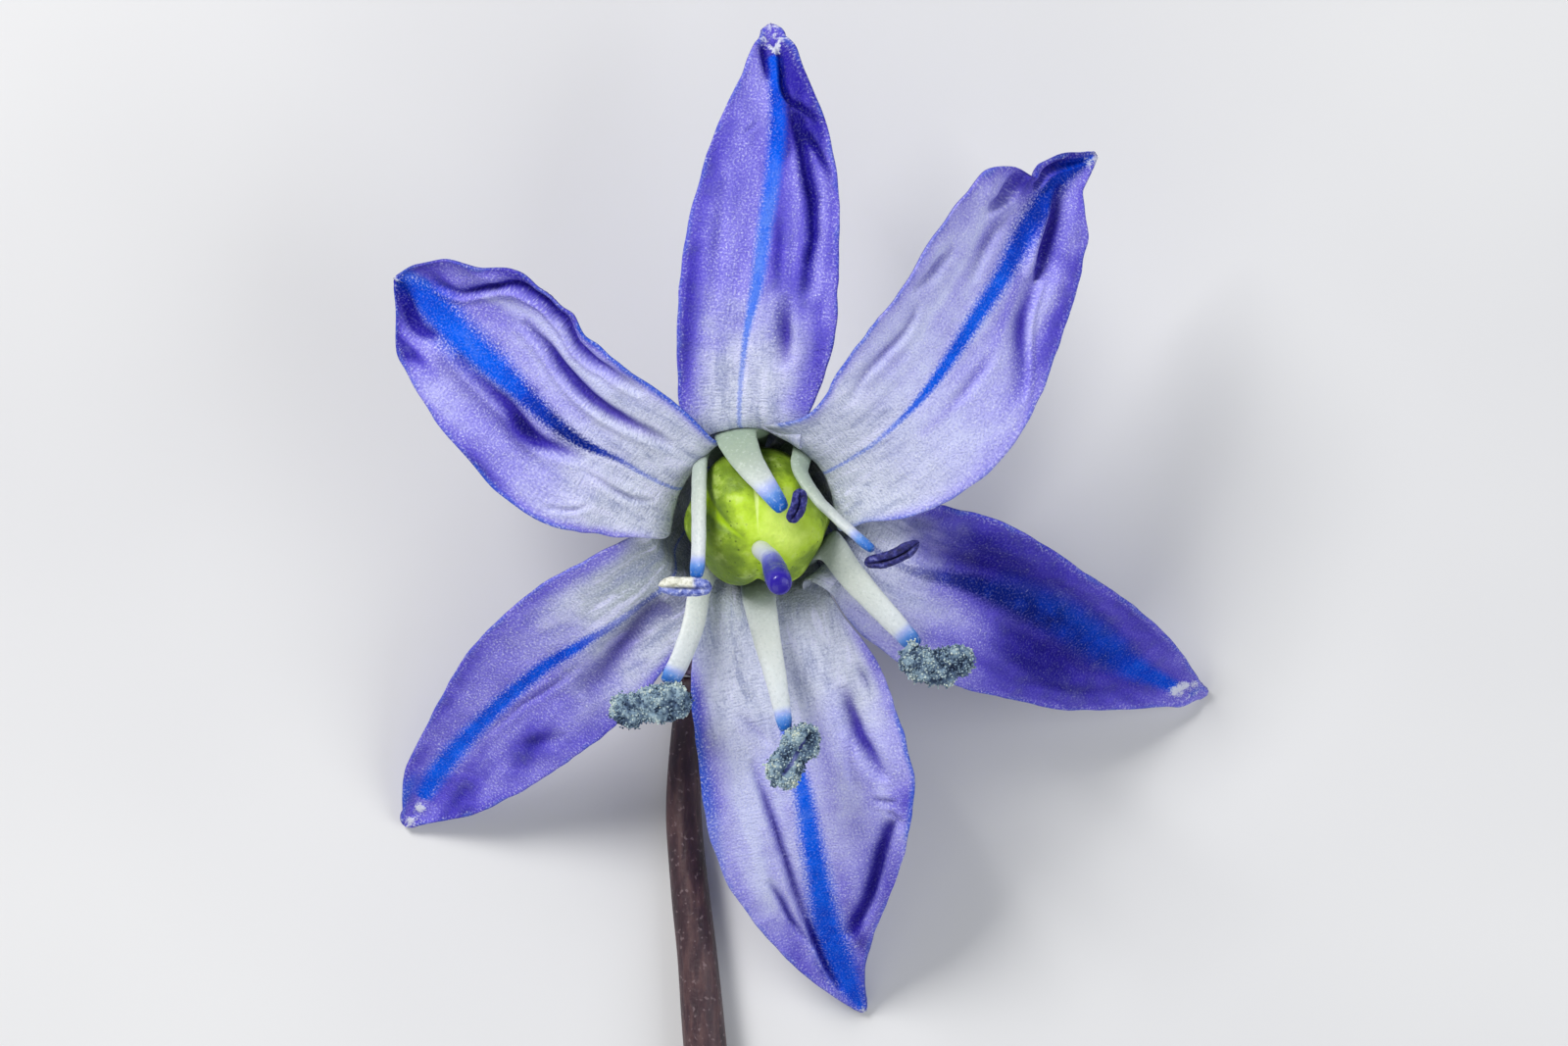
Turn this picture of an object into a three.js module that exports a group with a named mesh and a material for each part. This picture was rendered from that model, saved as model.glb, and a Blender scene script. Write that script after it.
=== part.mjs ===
// Siberian squill (Scilla siberica): one open flower picked on its stalk.
//
// It lies on its back on a table with its face up and its stalk flat beside it.
// Lengths are in millimetres, angles in degrees, and +Z is up.
// Everything is placed in the flower's own frame: the origin is the point on the
// receptacle that carries the ovary, +X is the flower's right, +Y its top and
// +Z comes out of its face. The last lines move the finished flower so that the
// middle of its footprint is the origin and the table is z = 0.

import * as THREE from "three";

// ---------------------------------------------------------------- driving sizes

const RECEPTACLE_HEIGHT = 4.2; // from the table up to the receptacle
const NOD = 25; // how far the flower's axis leans towards the stalk
const LEAN = 1.7; // and how far it leans to the right
const TABLE = -RECEPTACLE_HEIGHT;

const TEPAL_THICKNESS = 0.22; // at the midrib
const TEPAL_EDGE = 0.1; // at the margins
const FILAMENT_THICKNESS = 0.28;

const OVARY_FOOT = 0.3; // along the axis, from the receptacle
const OVARY_HEIGHT = 3.9;
const OVARY_RADIUS = 1.92;
const OVARY_FURROW = 0.16; // depth of the three furrows between the carpels

const RECEPTACLE_RADIUS = 0.92;
const SCAPE_LENGTH = 64; // from the pedicel's foot to the cut end
const SCAPE_RADII = [0.43, 0.57, 0.69, 0.77, 0.83, 0.87, 0.91, 0.93, 0.95]; // evenly spaced
const SCAPE_RADIUS_CUT = SCAPE_RADII.at(-1);
const PEDICEL_RADIUS = 0.42;
const GAP = 0.05; // between pieces that grow on one another

// How finely the surfaces are divided.
const TEPAL_STEPS_LONG = 24;
const TEPAL_STEPS_WIDE = 8;

// ---------------------------------------------------------------- plain geometry

const degrees = THREE.MathUtils.degToRad;
const vector = ([x, y, z]) => new THREE.Vector3(x, y, z);

const AXIS = new THREE.Vector3(
  Math.sin(degrees(LEAN)),
  -Math.sin(degrees(NOD)),
  Math.cos(degrees(NOD)),
).normalize();
const ACROSS = new THREE.Vector3(1, 0, 0).projectOnPlane(AXIS).normalize();
const UPWARD = new THREE.Vector3().crossVectors(AXIS, ACROSS);

// A point beside the flower's axis: how far out, how far along, and its bearing
// round the axis, counted from the flower's right through its top.
function besideAxis(out, along, bearing) {
  const a = degrees(bearing);
  return new THREE.Vector3()
    .addScaledVector(ACROSS, out * Math.cos(a))
    .addScaledVector(UPWARD, out * Math.sin(a))
    .addScaledVector(AXIS, along);
}

// A smooth value at share t (0 to 1) through evenly spaced stations.
function profile(stations, t) {
  const last = stations.length - 1;
  const at = Math.min(Math.max(t, 0), 1) * last;
  const i = Math.min(Math.floor(at), last - 1);
  const s = at - i;
  const b = stations[i];
  const c = stations[i + 1];
  const a = i > 0 ? stations[i - 1] : 2 * b - c;
  const d = i + 2 <= last ? stations[i + 2] : 2 * c - b;
  return (
    0.5 *
    (2 * b +
      (c - a) * s +
      (2 * a - 5 * b + 4 * c - d) * s * s +
      (3 * b - a - 3 * c + d) * s * s * s)
  );
}

// A path through points, walked by share of its length. side is the direction
// that the path's width keeps to, as nearly as it can.
class Path {
  constructor(points, side) {
    this.curve = new THREE.CatmullRomCurve3(points, false, "centripetal");
    this.curve.arcLengthDivisions = 400;
    this.side = side;
  }

  at(t) {
    const point = this.curve.getPointAt(t);
    const ahead = this.curve.getTangentAt(t);
    const across = this.side.clone().projectOnPlane(ahead).normalize();
    const front = new THREE.Vector3().crossVectors(across, ahead);
    return { point, ahead, across, front };
  }
}

// One closed surface over a list of rings of points, with a fan at each end. The
// rings turn anticlockwise as seen from the far end.
function loft(rings) {
  const count = rings[0].length;
  const positions = [];
  const faces = [];
  for (const ring of rings) {
    for (const p of ring) positions.push(p.x, p.y, p.z);
  }
  for (let i = 0; i + 1 < rings.length; i++) {
    for (let j = 0; j < count; j++) {
      const a = i * count + j;
      const b = i * count + ((j + 1) % count);
      faces.push(a, b, b + count, a, b + count, a + count);
    }
  }
  closeEnd(positions, faces, rings[0], 0, true);
  closeEnd(positions, faces, rings.at(-1), (rings.length - 1) * count, false);
  const geometry = new THREE.BufferGeometry();
  geometry.setAttribute("position", new THREE.Float32BufferAttribute(positions, 3));
  geometry.setIndex(faces);
  geometry.computeVertexNormals();
  return geometry;
}

function closeEnd(positions, faces, ring, first, isStart) {
  const centre = new THREE.Vector3();
  for (const p of ring) centre.addScaledVector(p, 1 / ring.length);
  const hub = positions.length / 3;
  positions.push(centre.x, centre.y, centre.z);
  for (let j = 0; j < ring.length; j++) {
    const a = first + j;
    const b = first + ((j + 1) % ring.length);
    if (isStart) faces.push(hub, b, a);
    else faces.push(hub, a, b);
  }
}

// A stalk along a path. width and depth give its half sizes at a share t of the
// way, and rounding is the share of the way over which each end is rounded off.
function stalk(path, { width, depth, steps, sides, rounding = 0.02 }) {
  const stops = [0, rounding / 4];
  for (let i = 0; i <= steps; i++) stops.push(rounding + ((1 - 2 * rounding) * i) / steps);
  stops.push(1 - rounding / 4, 1);
  const rings = [];
  for (const t of stops) {
    const { point, across, front } = path.at(t);
    const end = Math.min(1, Math.min(t, 1 - t) / rounding);
    const shrink = 0.6 + 0.4 * Math.sqrt(1 - (1 - end) ** 2);
    const ring = [];
    for (let j = 0; j < sides; j++) {
      const a = (-j / sides) * 2 * Math.PI;
      ring.push(
        point
          .clone()
          .addScaledVector(across, shrink * width(t) * Math.cos(a))
          .addScaledVector(front, shrink * depth(t) * Math.sin(a)),
      );
    }
    rings.push(ring);
  }
  return loft(rings);
}

// ---------------------------------------------------------------- the tepals

// Each whorl leaves the receptacle along the same bell: how far out from the
// axis and how far along it. The outer whorl wraps the inner one.
const BELL = {
  inner: [[1.0, 0.06], [1.9, 0.5], [2.38, 1.35]],
  outer: [[1.04, -0.24], [2.12, 0.2], [2.7, 1.2]],
};

// A tepal has the bearing at which it leaves the receptacle, the points of its
// midrib beyond the bell, and evenly spaced stations from foot to tip: its half
// width to the left and the right of the midrib as seen from its tip's side, and
// the angle by which each half curls forward. A fold is a valley or a ridge that
// runs from one share of the length to another and from one share of the half
// width to another.
const TEPALS = {
  top: {
    whorl: "outer",
    bearing: 90,
    midrib: [[-0.3, 1.6, 3.1], [-0.2, 3.7, 4.0], [0.15, 6.4, 4.0],
      [0.5, 9.0, 3.7], [0.6, 11.0, 3.1], [0.45, 12.45, 2.5]],
    left: [0.5, 1.45, 1.6, 1.8, 1.95, 2.05, 2.0, 1.85, 1.5, 0.95, 0.12],
    right: [0.5, 1.4, 1.6, 2.0, 2.35, 2.3, 2.15, 1.9, 1.45, 0.8, 0.12],
    curl: [30, 40, 36, 18, 14, 14, 16, 18, 24, 40, 70],
    folds: [
      { from: [0.45, 0.7], to: [0.82, 0.55], width: 0.16, depth: -0.24 },
      { from: [0.3, 0.62], to: [0.48, 0.5], width: 0.14, depth: -0.16 },
    ],
  },
  right_upper: {
    whorl: "inner",
    bearing: 33,
    midrib: [[2.15, 0.62, 2.75], [3.5, 1.3, 3.7], [5.05, 2.8, 3.95], [6.4, 5.05, 3.8],
      [7.45, 6.95, 3.5], [8.4, 8.3, 3.1], [9.3, 8.9, 2.7]],
    left: [0.42, 1.15, 1.35, 1.85, 2.5, 2.7, 2.65, 2.65, 2.4, 1.0, 0.12],
    right: [0.42, 1.25, 1.8, 2.45, 2.75, 2.75, 2.55, 2.25, 1.9, 1.1, 0.12],
    curl: [30, 36, 30, 16, 14, 16, 18, 22, 28, 46, 70],
    folds: [
      { from: [0.45, -0.55], to: [0.9, -0.5], width: 0.16, depth: -0.22 },
      { from: [0.62, 0.55], to: [0.95, 0.45], width: 0.2, depth: -0.28 },
    ],
  },
  right_lower: {
    whorl: "outer",
    bearing: -28,
    midrib: [[2.8, -1.5, 1.5], [4.3, -2.35, 1.75], [6.2, -2.95, 1.2], [8.1, -3.75, 0.0],
      [9.8, -4.7, -1.45], [11.5, -5.55, -3.1], [12.65, -5.9, -4.08]],
    left: [0.5, 1.5, 1.8, 2.05, 2.25, 2.0, 1.75, 1.65, 1.4, 0.95, 0.12],
    right: [0.5, 1.4, 1.65, 2.3, 2.85, 2.85, 2.65, 2.25, 1.6, 0.85, 0.12],
    curl: [30, 40, 34, 14, 10, 10, 12, 14, 20, 34, 60],
    folds: [{ from: [0.35, -0.4], to: [0.8, -0.5], width: 0.25, depth: -0.18 }],
  },
  bottom: {
    whorl: "inner",
    bearing: -88,
    midrib: [[0.05, -3.45, 0.95], [0.4, -5.3, 1.15], [0.8, -6.9, 0.95], [1.2, -8.3, 0.5],
      [1.75, -10.5, -0.7], [2.2, -12.4, -2.2], [2.65, -13.85, -3.35], [3.05, -14.8, -4.08]],
    left: [0.42, 1.25, 2.15, 2.9, 3.2, 3.2, 2.85, 2.1, 1.3, 0.6, 0.12],
    right: [0.42, 1.25, 1.8, 2.2, 2.45, 2.7, 2.7, 2.35, 1.75, 1.0, 0.12],
    curl: [30, 38, 34, 16, 14, 16, 18, 24, 34, 50, 70],
    folds: [
      { from: [0.3, 0.55], to: [0.8, 0.35], width: 0.16, depth: -0.22 },
      { from: [0.28, -0.55], to: [0.75, -0.6], width: 0.18, depth: -0.26 },
    ],
  },
  left_lower: {
    whorl: "outer",
    bearing: -148,
    midrib: [[-2.3, -2.6, 1.15], [-3.2, -3.3, 1.25], [-4.6, -4.25, 0.8], [-6.2, -5.35, -0.2],
      [-7.9, -7.0, -2.0], [-9.05, -8.4, -3.3], [-9.8, -9.6, -4.08]],
    left: [0.5, 1.5, 1.75, 1.9, 2.3, 2.6, 2.55, 2.35, 2.0, 1.4, 0.12],
    right: [0.5, 1.5, 1.85, 2.0, 2.1, 1.95, 1.7, 1.4, 1.1, 0.85, 0.12],
    curl: [30, 40, 34, 14, 10, 10, 12, 14, 20, 34, 60],
    folds: [{ from: [0.3, -0.3], to: [0.75, -0.45], width: 0.28, depth: -0.2 }],
  },
  left_upper: {
    whorl: "inner",
    bearing: 152,
    midrib: [[-2.3, 0.25, 2.65], [-3.45, 0.8, 3.4], [-4.5, 1.35, 3.65], [-6.1, 2.7, 3.7],
      [-7.7, 4.0, 3.6], [-9.05, 5.1, 3.3], [-9.75, 5.55, 2.95]],
    left: [0.42, 1.2, 1.6, 2.3, 2.7, 2.9, 2.8, 2.6, 2.2, 1.5, 0.12],
    right: [0.42, 1.2, 1.35, 1.85, 2.15, 2.3, 2.35, 2.6, 2.5, 1.7, 0.12],
    curl: [30, 36, 30, 16, 14, 16, 18, 22, 30, 50, 75],
    folds: [
      { from: [0.35, 0.5], to: [0.9, 0.55], width: 0.2, depth: -0.26 },
      { from: [0.3, -0.35], to: [0.7, -0.4], width: 0.14, depth: -0.16 },
    ],
  },
};

// How far the folds lift or sink the tepal at (t, s): t is the share of its length
// and s runs from -1 at the left margin to 1 at the right.
function foldDepth(folds, t, s) {
  let depth = 0;
  for (const { from, to, width, depth: deepest } of folds) {
    const along = (t - from[0]) / (to[0] - from[0]);
    if (along <= 0 || along >= 1) continue;
    const line = from[1] + (to[1] - from[1]) * along;
    depth += deepest * Math.sin(Math.PI * along) * Math.exp(-(((s - line) / width) ** 2));
  }
  return depth;
}

// The two faces of the tepal at (t, s), as a front point and a back point.
function tepalFaces(tepal, path, t, s) {
  const { point, across, front } = path.at(t);
  const half = profile(s < 0 ? tepal.left : tepal.right, t);
  const angle = degrees(profile(tepal.curl, t)) * Math.abs(s);
  const bend = angle < 1e-4 ? 1 : Math.sin(angle) / angle;
  const rise = angle < 1e-4 ? 0 : (1 - Math.cos(angle)) / angle;
  const reach = half * Math.abs(s);
  const normal = front
    .clone()
    .multiplyScalar(Math.cos(angle))
    .addScaledVector(across, -Math.sign(s) * Math.sin(angle));
  const middle = point
    .clone()
    .addScaledVector(across, Math.sign(s) * reach * bend)
    .addScaledVector(front, reach * rise)
    .addScaledVector(normal, foldDepth(tepal.folds, t, s));
  const thickness = THREE.MathUtils.lerp(TEPAL_THICKNESS, TEPAL_EDGE, s * s);
  return {
    front: middle.clone().addScaledVector(normal, thickness / 2),
    back: middle.clone().addScaledVector(normal, -thickness / 2),
  };
}

function tepalGeometry(tepal) {
  const bell = BELL[tepal.whorl].map(([out, along]) => besideAxis(out, along, tepal.bearing));
  const outward = besideAxis(1, 0, tepal.bearing);
  const side = new THREE.Vector3().crossVectors(outward, AXIS);
  const path = new Path([...bell, ...tepal.midrib.map(vector)], side);
  const rings = [];
  for (let i = 0; i <= TEPAL_STEPS_LONG; i++) {
    const fronts = [];
    const backs = [];
    for (let j = 0; j <= TEPAL_STEPS_WIDE; j++) {
      const s = (2 * j) / TEPAL_STEPS_WIDE - 1;
      const faces = tepalFaces(tepal, path, i / TEPAL_STEPS_LONG, s);
      fronts.push(faces.front);
      backs.push(faces.back);
    }
    rings.push([...fronts, ...backs.reverse()]);
  }
  return loft(rings);
}

// ---------------------------------------------------------------- the stamens

// A stamen has the bearing at which it leaves the receptacle, the points of its
// filament beyond the foot, the filament's width near its foot and at its tip, and
// an anther that lies across the tip: its middle, direction, length and width.
const STAMEN_FOOT = [[0.82, 0.2], [1.84, 0.93], [2.15, 1.6]];

const STAMENS = {
  top: {
    bearing: 92,
    filament: [[-0.45, 1.15, 2.95], [-0.15, 0.5, 3.9], [0.42, -0.25, 4.5], [0.8, -0.78, 4.66]],
    foot: 1.25,
    tip: 0.42,
    anther: { at: [1.15, -0.66, 4.95], along: [0.3, 0.95, 0.25], length: 0.98, width: 0.42 },
  },
  right_upper: {
    bearing: 33,
    filament: [[1.3, 0.2, 3.45], [1.75, -0.5, 3.95], [2.35, -1.1, 4.35], [3.2, -1.85, 4.8]],
    foot: 0.75,
    tip: 0.35,
    anther: { at: [3.74, -1.98, 4.95], along: [0.95, 0.38, 0.1], length: 1.6, width: 0.46 },
  },
  right_lower: {
    bearing: -38,
    filament: [[2.05, -1.75, 1.75], [2.7, -2.6, 2.3], [3.6, -3.6, 2.6], [4.42, -4.5, 2.58]],
    foot: 0.95,
    tip: 0.55,
    anther: { at: [4.95, -4.85, 3.15], along: [0.99, 0.0, 0.1], length: 1.9, width: 0.95 },
  },
  bottom: {
    bearing: -88,
    filament: [[0.15, -3.3, 1.65], [0.35, -4.3, 2.2], [0.6, -5.4, 2.5], [0.86, -6.78, 2.62]],
    foot: 1.0,
    tip: 0.4,
    anther: { at: [1.05, -7.45, 2.7], along: [-0.55, -0.85, 0.0], length: 1.9, width: 0.8 },
  },
  left_lower: {
    bearing: -128,
    filament: [[-1.5, -2.9, 1.75], [-1.62, -3.7, 2.2], [-1.95, -4.7, 2.45], [-2.36, -5.52, 2.5]],
    foot: 0.75,
    tip: 0.55,
    anther: { at: [-2.82, -6.1, 2.75], along: [0.96, 0.22, 0.0], length: 2.2, width: 1.0 },
  },
  left_upper: {
    bearing: 155,
    filament: [[-1.52, 0.35, 3.0], [-1.5, -0.7, 3.8], [-1.5, -1.8, 4.25], [-1.56, -2.6, 4.4]],
    foot: 0.5,
    tip: 0.42,
    anther: { at: [-1.86, -2.84, 4.6], along: [1.0, -0.03, 0.05], length: 1.45, width: 0.55 },
  },
};

function filamentGeometry({ bearing, filament, foot, tip }) {
  const base = STAMEN_FOOT.map(([out, along]) => besideAxis(out, along, bearing));
  const side = new THREE.Vector3().crossVectors(besideAxis(1, 0, bearing), AXIS);
  const path = new Path([...base, ...filament.map(vector)], side);
  const widths = [0.5 * foot, foot, 0.8 * foot + 0.2 * tip, 0.4 * foot + 0.6 * tip, tip];
  return stalk(path, {
    width: (t) => profile(widths, t) / 2,
    depth: () => FILAMENT_THICKNESS / 2,
    steps: 12,
    sides: 8,
    rounding: 0.04,
  });
}

// Two long lobes side by side with a shallow groove between them.
function antherGeometry({ at, along, length, width }) {
  const centre = vector(at);
  const ahead = vector(along).normalize();
  const start = centre.clone().addScaledVector(ahead, -length / 2);
  const end = centre.clone().addScaledVector(ahead, length / 2);
  const path = new Path([start, centre, end], new THREE.Vector3().crossVectors(ahead, AXIS));
  const round = (t) => Math.sqrt(Math.max(1 - (2 * t - 1) ** 4, 0.04));
  return stalk(path, {
    width: (t) => (round(t) * width) / 2,
    depth: (t) => (round(t) * width * 0.7) / 2,
    steps: 8,
    sides: 10,
    rounding: 0.04,
  });
}

// ---------------------------------------------------------------- the pistil

// Three carpels, parted by three furrows that meet at the foot of the style.
function ovaryGeometry() {
  const steps = 18;
  const sides = 36;
  const rings = [];
  for (let i = 0; i <= steps; i++) {
    const polar = degrees(6 + (168 * i) / steps);
    const along = OVARY_FOOT + (OVARY_HEIGHT / 2) * (1 - Math.cos(polar));
    const ring = [];
    for (let j = 0; j < sides; j++) {
      const bearing = (360 * j) / sides;
      const furrow = Math.abs(Math.cos(degrees(1.5 * (bearing - 150)))) ** 12;
      const out = (OVARY_RADIUS - OVARY_FURROW * furrow) * Math.sin(polar) ** 0.92;
      ring.push(besideAxis(out, along, bearing));
    }
    rings.push(ring);
  }
  return loft(rings);
}

function styleGeometry() {
  const foot = besideAxis(0, OVARY_FOOT + OVARY_HEIGHT + GAP, 0);
  const beyond = [[0.45, -2.1, 4.7], [0.61, -2.5, 5.6], [0.72, -2.8, 6.4]];
  const radius = (t) => profile([0.27, 0.26, 0.29, 0.33, 0.35, 0.33], t);
  return stalk(new Path([foot, ...beyond.map(vector)], ACROSS), {
    width: radius,
    depth: radius,
    steps: 12,
    sides: 12,
    rounding: 0.08,
  });
}

// ---------------------------------------------------------------- the stalk

// The disc at the top of the pedicel that carries every part of the flower.
function receptacleGeometry() {
  const outline = [[0.36, -0.72], [0.52, -0.6], [0.84, -0.28],
    [RECEPTACLE_RADIUS, 0.0], [0.72, 0.2], [0.2, 0.25]];
  const sides = 24;
  const rings = outline.map(([out, along]) => {
    const ring = [];
    for (let j = 0; j < sides; j++) ring.push(besideAxis(out, along, (360 * j) / sides));
    return ring;
  });
  return loft(rings);
}

// Where the pedicel leaves the top of the scape, lying just above the table.
const PEDICEL_FOOT = new THREE.Vector3(-1.75, -5.4, TABLE + 0.62);

function pedicelGeometry() {
  const top = besideAxis(0, -0.72 - GAP, 0);
  const points = [
    PEDICEL_FOOT,
    new THREE.Vector3(-1.45, -3.6, TABLE + 0.5),
    new THREE.Vector3(-1.0, -1.6, TABLE + 0.5),
    new THREE.Vector3(-0.5, 0.0, TABLE + 0.9),
    new THREE.Vector3(-0.15, 0.75, TABLE + 1.9),
    besideAxis(0, -1.5, 0),
    top,
  ];
  const radius = (t) => profile([0.46, PEDICEL_RADIUS, PEDICEL_RADIUS, PEDICEL_RADIUS, 0.4], t);
  return stalk(new Path(points, new THREE.Vector3(1, 0, 0)), {
    width: radius,
    depth: radius,
    steps: 26,
    sides: 12,
    rounding: 0.015,
  });
}

function scapeGeometry() {
  const lengthAhead = PEDICEL_FOOT.y - GAP;
  const points = [
    [-1.75, 0, 0.62],
    [-2.0, -3.5, 0.6],
    [-1.6, -8, 0.7],
    [-1.1, -14, 0.8],
    [-0.3, -26, 0.95],
    [0.6, -44, 1.0],
    [0.9, -SCAPE_LENGTH, SCAPE_RADIUS_CUT],
  ].map(([x, y, z]) => new THREE.Vector3(x, lengthAhead + y, TABLE + z));
  const radius = (t) => profile(SCAPE_RADII, t);
  return stalk(new Path(points, new THREE.Vector3(1, 0, 0)), {
    width: radius,
    depth: radius,
    steps: 38,
    sides: 14,
    rounding: 0.003,
  });
}

// The small pointed scale at the pedicel's foot, standing close beside it.
function bractGeometry() {
  const points = [
    [-0.45, 0.1, 0.35],
    [-0.62, 0.75, 0.55],
    [-0.7, 1.4, 0.75],
    [-0.66, 1.95, 0.95],
  ].map((offset) => vector(offset).add(PEDICEL_FOOT));
  return stalk(new Path(points, new THREE.Vector3(0.7, 0, 0.7)), {
    width: (t) => profile([0.36, 0.44, 0.4, 0.26, 0.06], t),
    depth: (t) => profile([0.1, 0.08, 0.07, 0.06, 0.04], t),
    steps: 8,
    sides: 8,
  });
}

// ---------------------------------------------------------------- the assembly

const FINISH = {
  tepal: { color: 0x8f8ae0, roughness: 0.6 },
  filament: { color: 0xdfe6e6, roughness: 0.5 },
  anther: { color: 0x5f7d93, roughness: 0.8 },
  ovary: { color: 0xb4d94a, roughness: 0.45 },
  style: { color: 0x4a3fae, roughness: 0.35 },
  stalk: { color: 0x5d4146, roughness: 0.6 },
};

function piece(name, geometry, finish) {
  const material = new THREE.MeshStandardMaterial({ ...finish, metalness: 0 });
  const mesh = new THREE.Mesh(geometry, material);
  mesh.name = name;
  return mesh;
}

function buildFlower() {
  const flower = new THREE.Group();
  flower.add(piece("scape", scapeGeometry(), FINISH.stalk));
  flower.add(piece("pedicel", pedicelGeometry(), FINISH.stalk));
  flower.add(piece("bract", bractGeometry(), FINISH.stalk));
  flower.add(piece("receptacle", receptacleGeometry(), FINISH.stalk));
  flower.add(piece("ovary", ovaryGeometry(), FINISH.ovary));
  flower.add(piece("style", styleGeometry(), FINISH.style));
  for (const [place, tepal] of Object.entries(TEPALS)) {
    flower.add(piece(`tepal_${tepal.whorl}_${place}`, tepalGeometry(tepal), FINISH.tepal));
  }
  for (const [place, stamen] of Object.entries(STAMENS)) {
    flower.add(piece(`filament_${place}`, filamentGeometry(stamen), FINISH.filament));
    flower.add(piece(`anther_${place}`, antherGeometry(stamen.anther), FINISH.anther));
  }
  return flower;
}

const flower = buildFlower();
const box = new THREE.Box3().setFromObject(flower);
const middle = box.getCenter(new THREE.Vector3());
flower.position.set(-middle.x, -middle.y, -box.min.z);

export default flower;
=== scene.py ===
"""A Siberian squill flower, picked and laid on its back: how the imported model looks.

Shapes are worked out in millimetres, in the flower's own frame: the origin is the point
on the receptacle that carries the ovary, +X is the flower's right, +Y its top and +Z
comes out of its face. add_piece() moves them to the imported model's place, in metres.
A share runs from 0 to 1. Bearings turn round the flower's axis from its right through
its top, in degrees. Colours are given as a screen shows them, from 0 to 255.
"""

from typing import NamedTuple

import bmesh
import bpy
import numpy as np
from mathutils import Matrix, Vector, noise


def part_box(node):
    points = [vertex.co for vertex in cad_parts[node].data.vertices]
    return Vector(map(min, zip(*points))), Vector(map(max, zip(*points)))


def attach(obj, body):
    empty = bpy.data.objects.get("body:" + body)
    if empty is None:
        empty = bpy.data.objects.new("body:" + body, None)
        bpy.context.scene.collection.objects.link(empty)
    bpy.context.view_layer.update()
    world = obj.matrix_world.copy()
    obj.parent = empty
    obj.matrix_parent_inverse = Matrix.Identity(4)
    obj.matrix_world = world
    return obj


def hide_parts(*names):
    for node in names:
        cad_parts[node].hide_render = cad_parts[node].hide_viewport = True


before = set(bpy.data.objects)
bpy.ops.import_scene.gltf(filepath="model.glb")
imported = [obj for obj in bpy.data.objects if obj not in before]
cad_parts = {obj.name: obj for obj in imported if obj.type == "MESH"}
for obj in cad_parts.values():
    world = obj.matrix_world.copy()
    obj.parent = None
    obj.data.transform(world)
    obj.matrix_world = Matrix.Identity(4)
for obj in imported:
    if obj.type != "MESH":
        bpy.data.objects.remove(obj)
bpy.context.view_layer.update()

MM = 0.001  # a millimetre in Blender's metres

# --- the model's sizes

RECEPTACLE_HEIGHT = 4.2  # from the table up to the receptacle
NOD = 25  # how far the flower's axis leans towards the stalk
LEAN = 1.7  # and how far it leans to the right
RIGHT = (1, 0, 0)
TABLE = -RECEPTACLE_HEIGHT
GAP = 0.05  # between pieces that grow on one another

TEPAL_THICKNESS = 0.22  # at the midrib
TEPAL_EDGE = 0.1  # at the margins
FILAMENT_THICKNESS = 0.28

OVARY_FOOT = 0.3  # along the axis, from the receptacle
OVARY_HEIGHT = 3.9
OVARY_RADIUS = 1.92
OVARY_FURROW = 0.16  # depth of the three furrows between the carpels

# How far the receptacle reaches out from the axis, and how far along it.
RECEPTACLE_OUTLINE = [(0.36, -0.72), (0.52, -0.6), (0.84, -0.28), (0.92, 0.0), (0.72, 0.2), (0.2, 0.25)]
RECEPTACLE_SIDES = 24
SCAPE_LENGTH = 64  # from the pedicel's foot to the cut end
SCAPE_RADII = [0.43, 0.57, 0.69, 0.77, 0.83, 0.87, 0.91, 0.93, 0.95]
PEDICEL_FOOT = np.array([-1.75, -5.4, TABLE + 0.62])
PEDICEL_RADII = [0.46, 0.42, 0.42, 0.42, 0.4]

# The camera looks straight down on the flower's face.
IMAGE_WIDTH = 1600
PIXELS_PER_MM = 37  # at the height of the receptacle
CAMERA_OVER = (0.81, -1.12)  # the point that the camera is over
CAMERA_HEIGHT = 226  # above the receptacle
SENSOR_WIDTH = 36

FLOOR_SIZE = 900
FLOOR_DROP = 0.03  # the floor lies this far under the model's lowest point
LIGHTS = {  # the place, size, watts and tint of each
    "key": ((-120, 130, 170), 90, 0.56, (1, 0.99, 0.97)),
    "fill": ((160, -40, 150), 180, 0.22, (0.94, 0.97, 1)),
    "low": ((-60, -160, 110), 150, 0.08, (1, 1, 1)),
}
STUDIO_TINT = (0.8, 0.82, 0.86, 1)
STUDIO_STRENGTH = 0.28

# --- plain geometry


def unit(vector):
    return vector / np.maximum(np.linalg.norm(vector, axis=-1, keepdims=True), 1e-12)


AXIS = unit(np.array([np.sin(np.radians(LEAN)), -np.sin(np.radians(NOD)), np.cos(np.radians(NOD))]))
ACROSS = unit(RIGHT - AXIS * AXIS[0])
UPWARD = np.cross(AXIS, ACROSS)


def beside_axis(out, along, bearing):
    """The point this far out from the flower's axis and along it, at a bearing."""
    angle = np.radians(bearing)[..., None]
    out = np.asarray(out)[..., None]
    along = np.asarray(along)[..., None]
    return ACROSS * out * np.cos(angle) + UPWARD * out * np.sin(angle) + AXIS * along


def profile(stations, share):
    """A smooth value at a share of the way through evenly spaced stations."""
    values = np.asarray(stations, float)
    last = len(values) - 1
    at = np.clip(share, 0, 1) * last
    i = np.minimum(np.floor(at).astype(int), last - 1)
    s = at - i
    before = 2 * values[0] - values[1]
    after = 2 * values[-1] - values[-2]
    padded = np.concatenate([[before], values, [after]])
    a, b, c, d = padded[i], padded[i + 1], padded[i + 2], padded[i + 3]
    bends = (2 * a - 5 * b + 4 * c - d) * s**2
    twists = (3 * b - a - 3 * c + d) * s**3
    return 0.5 * (2 * b + (c - a) * s + bends + twists)


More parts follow.
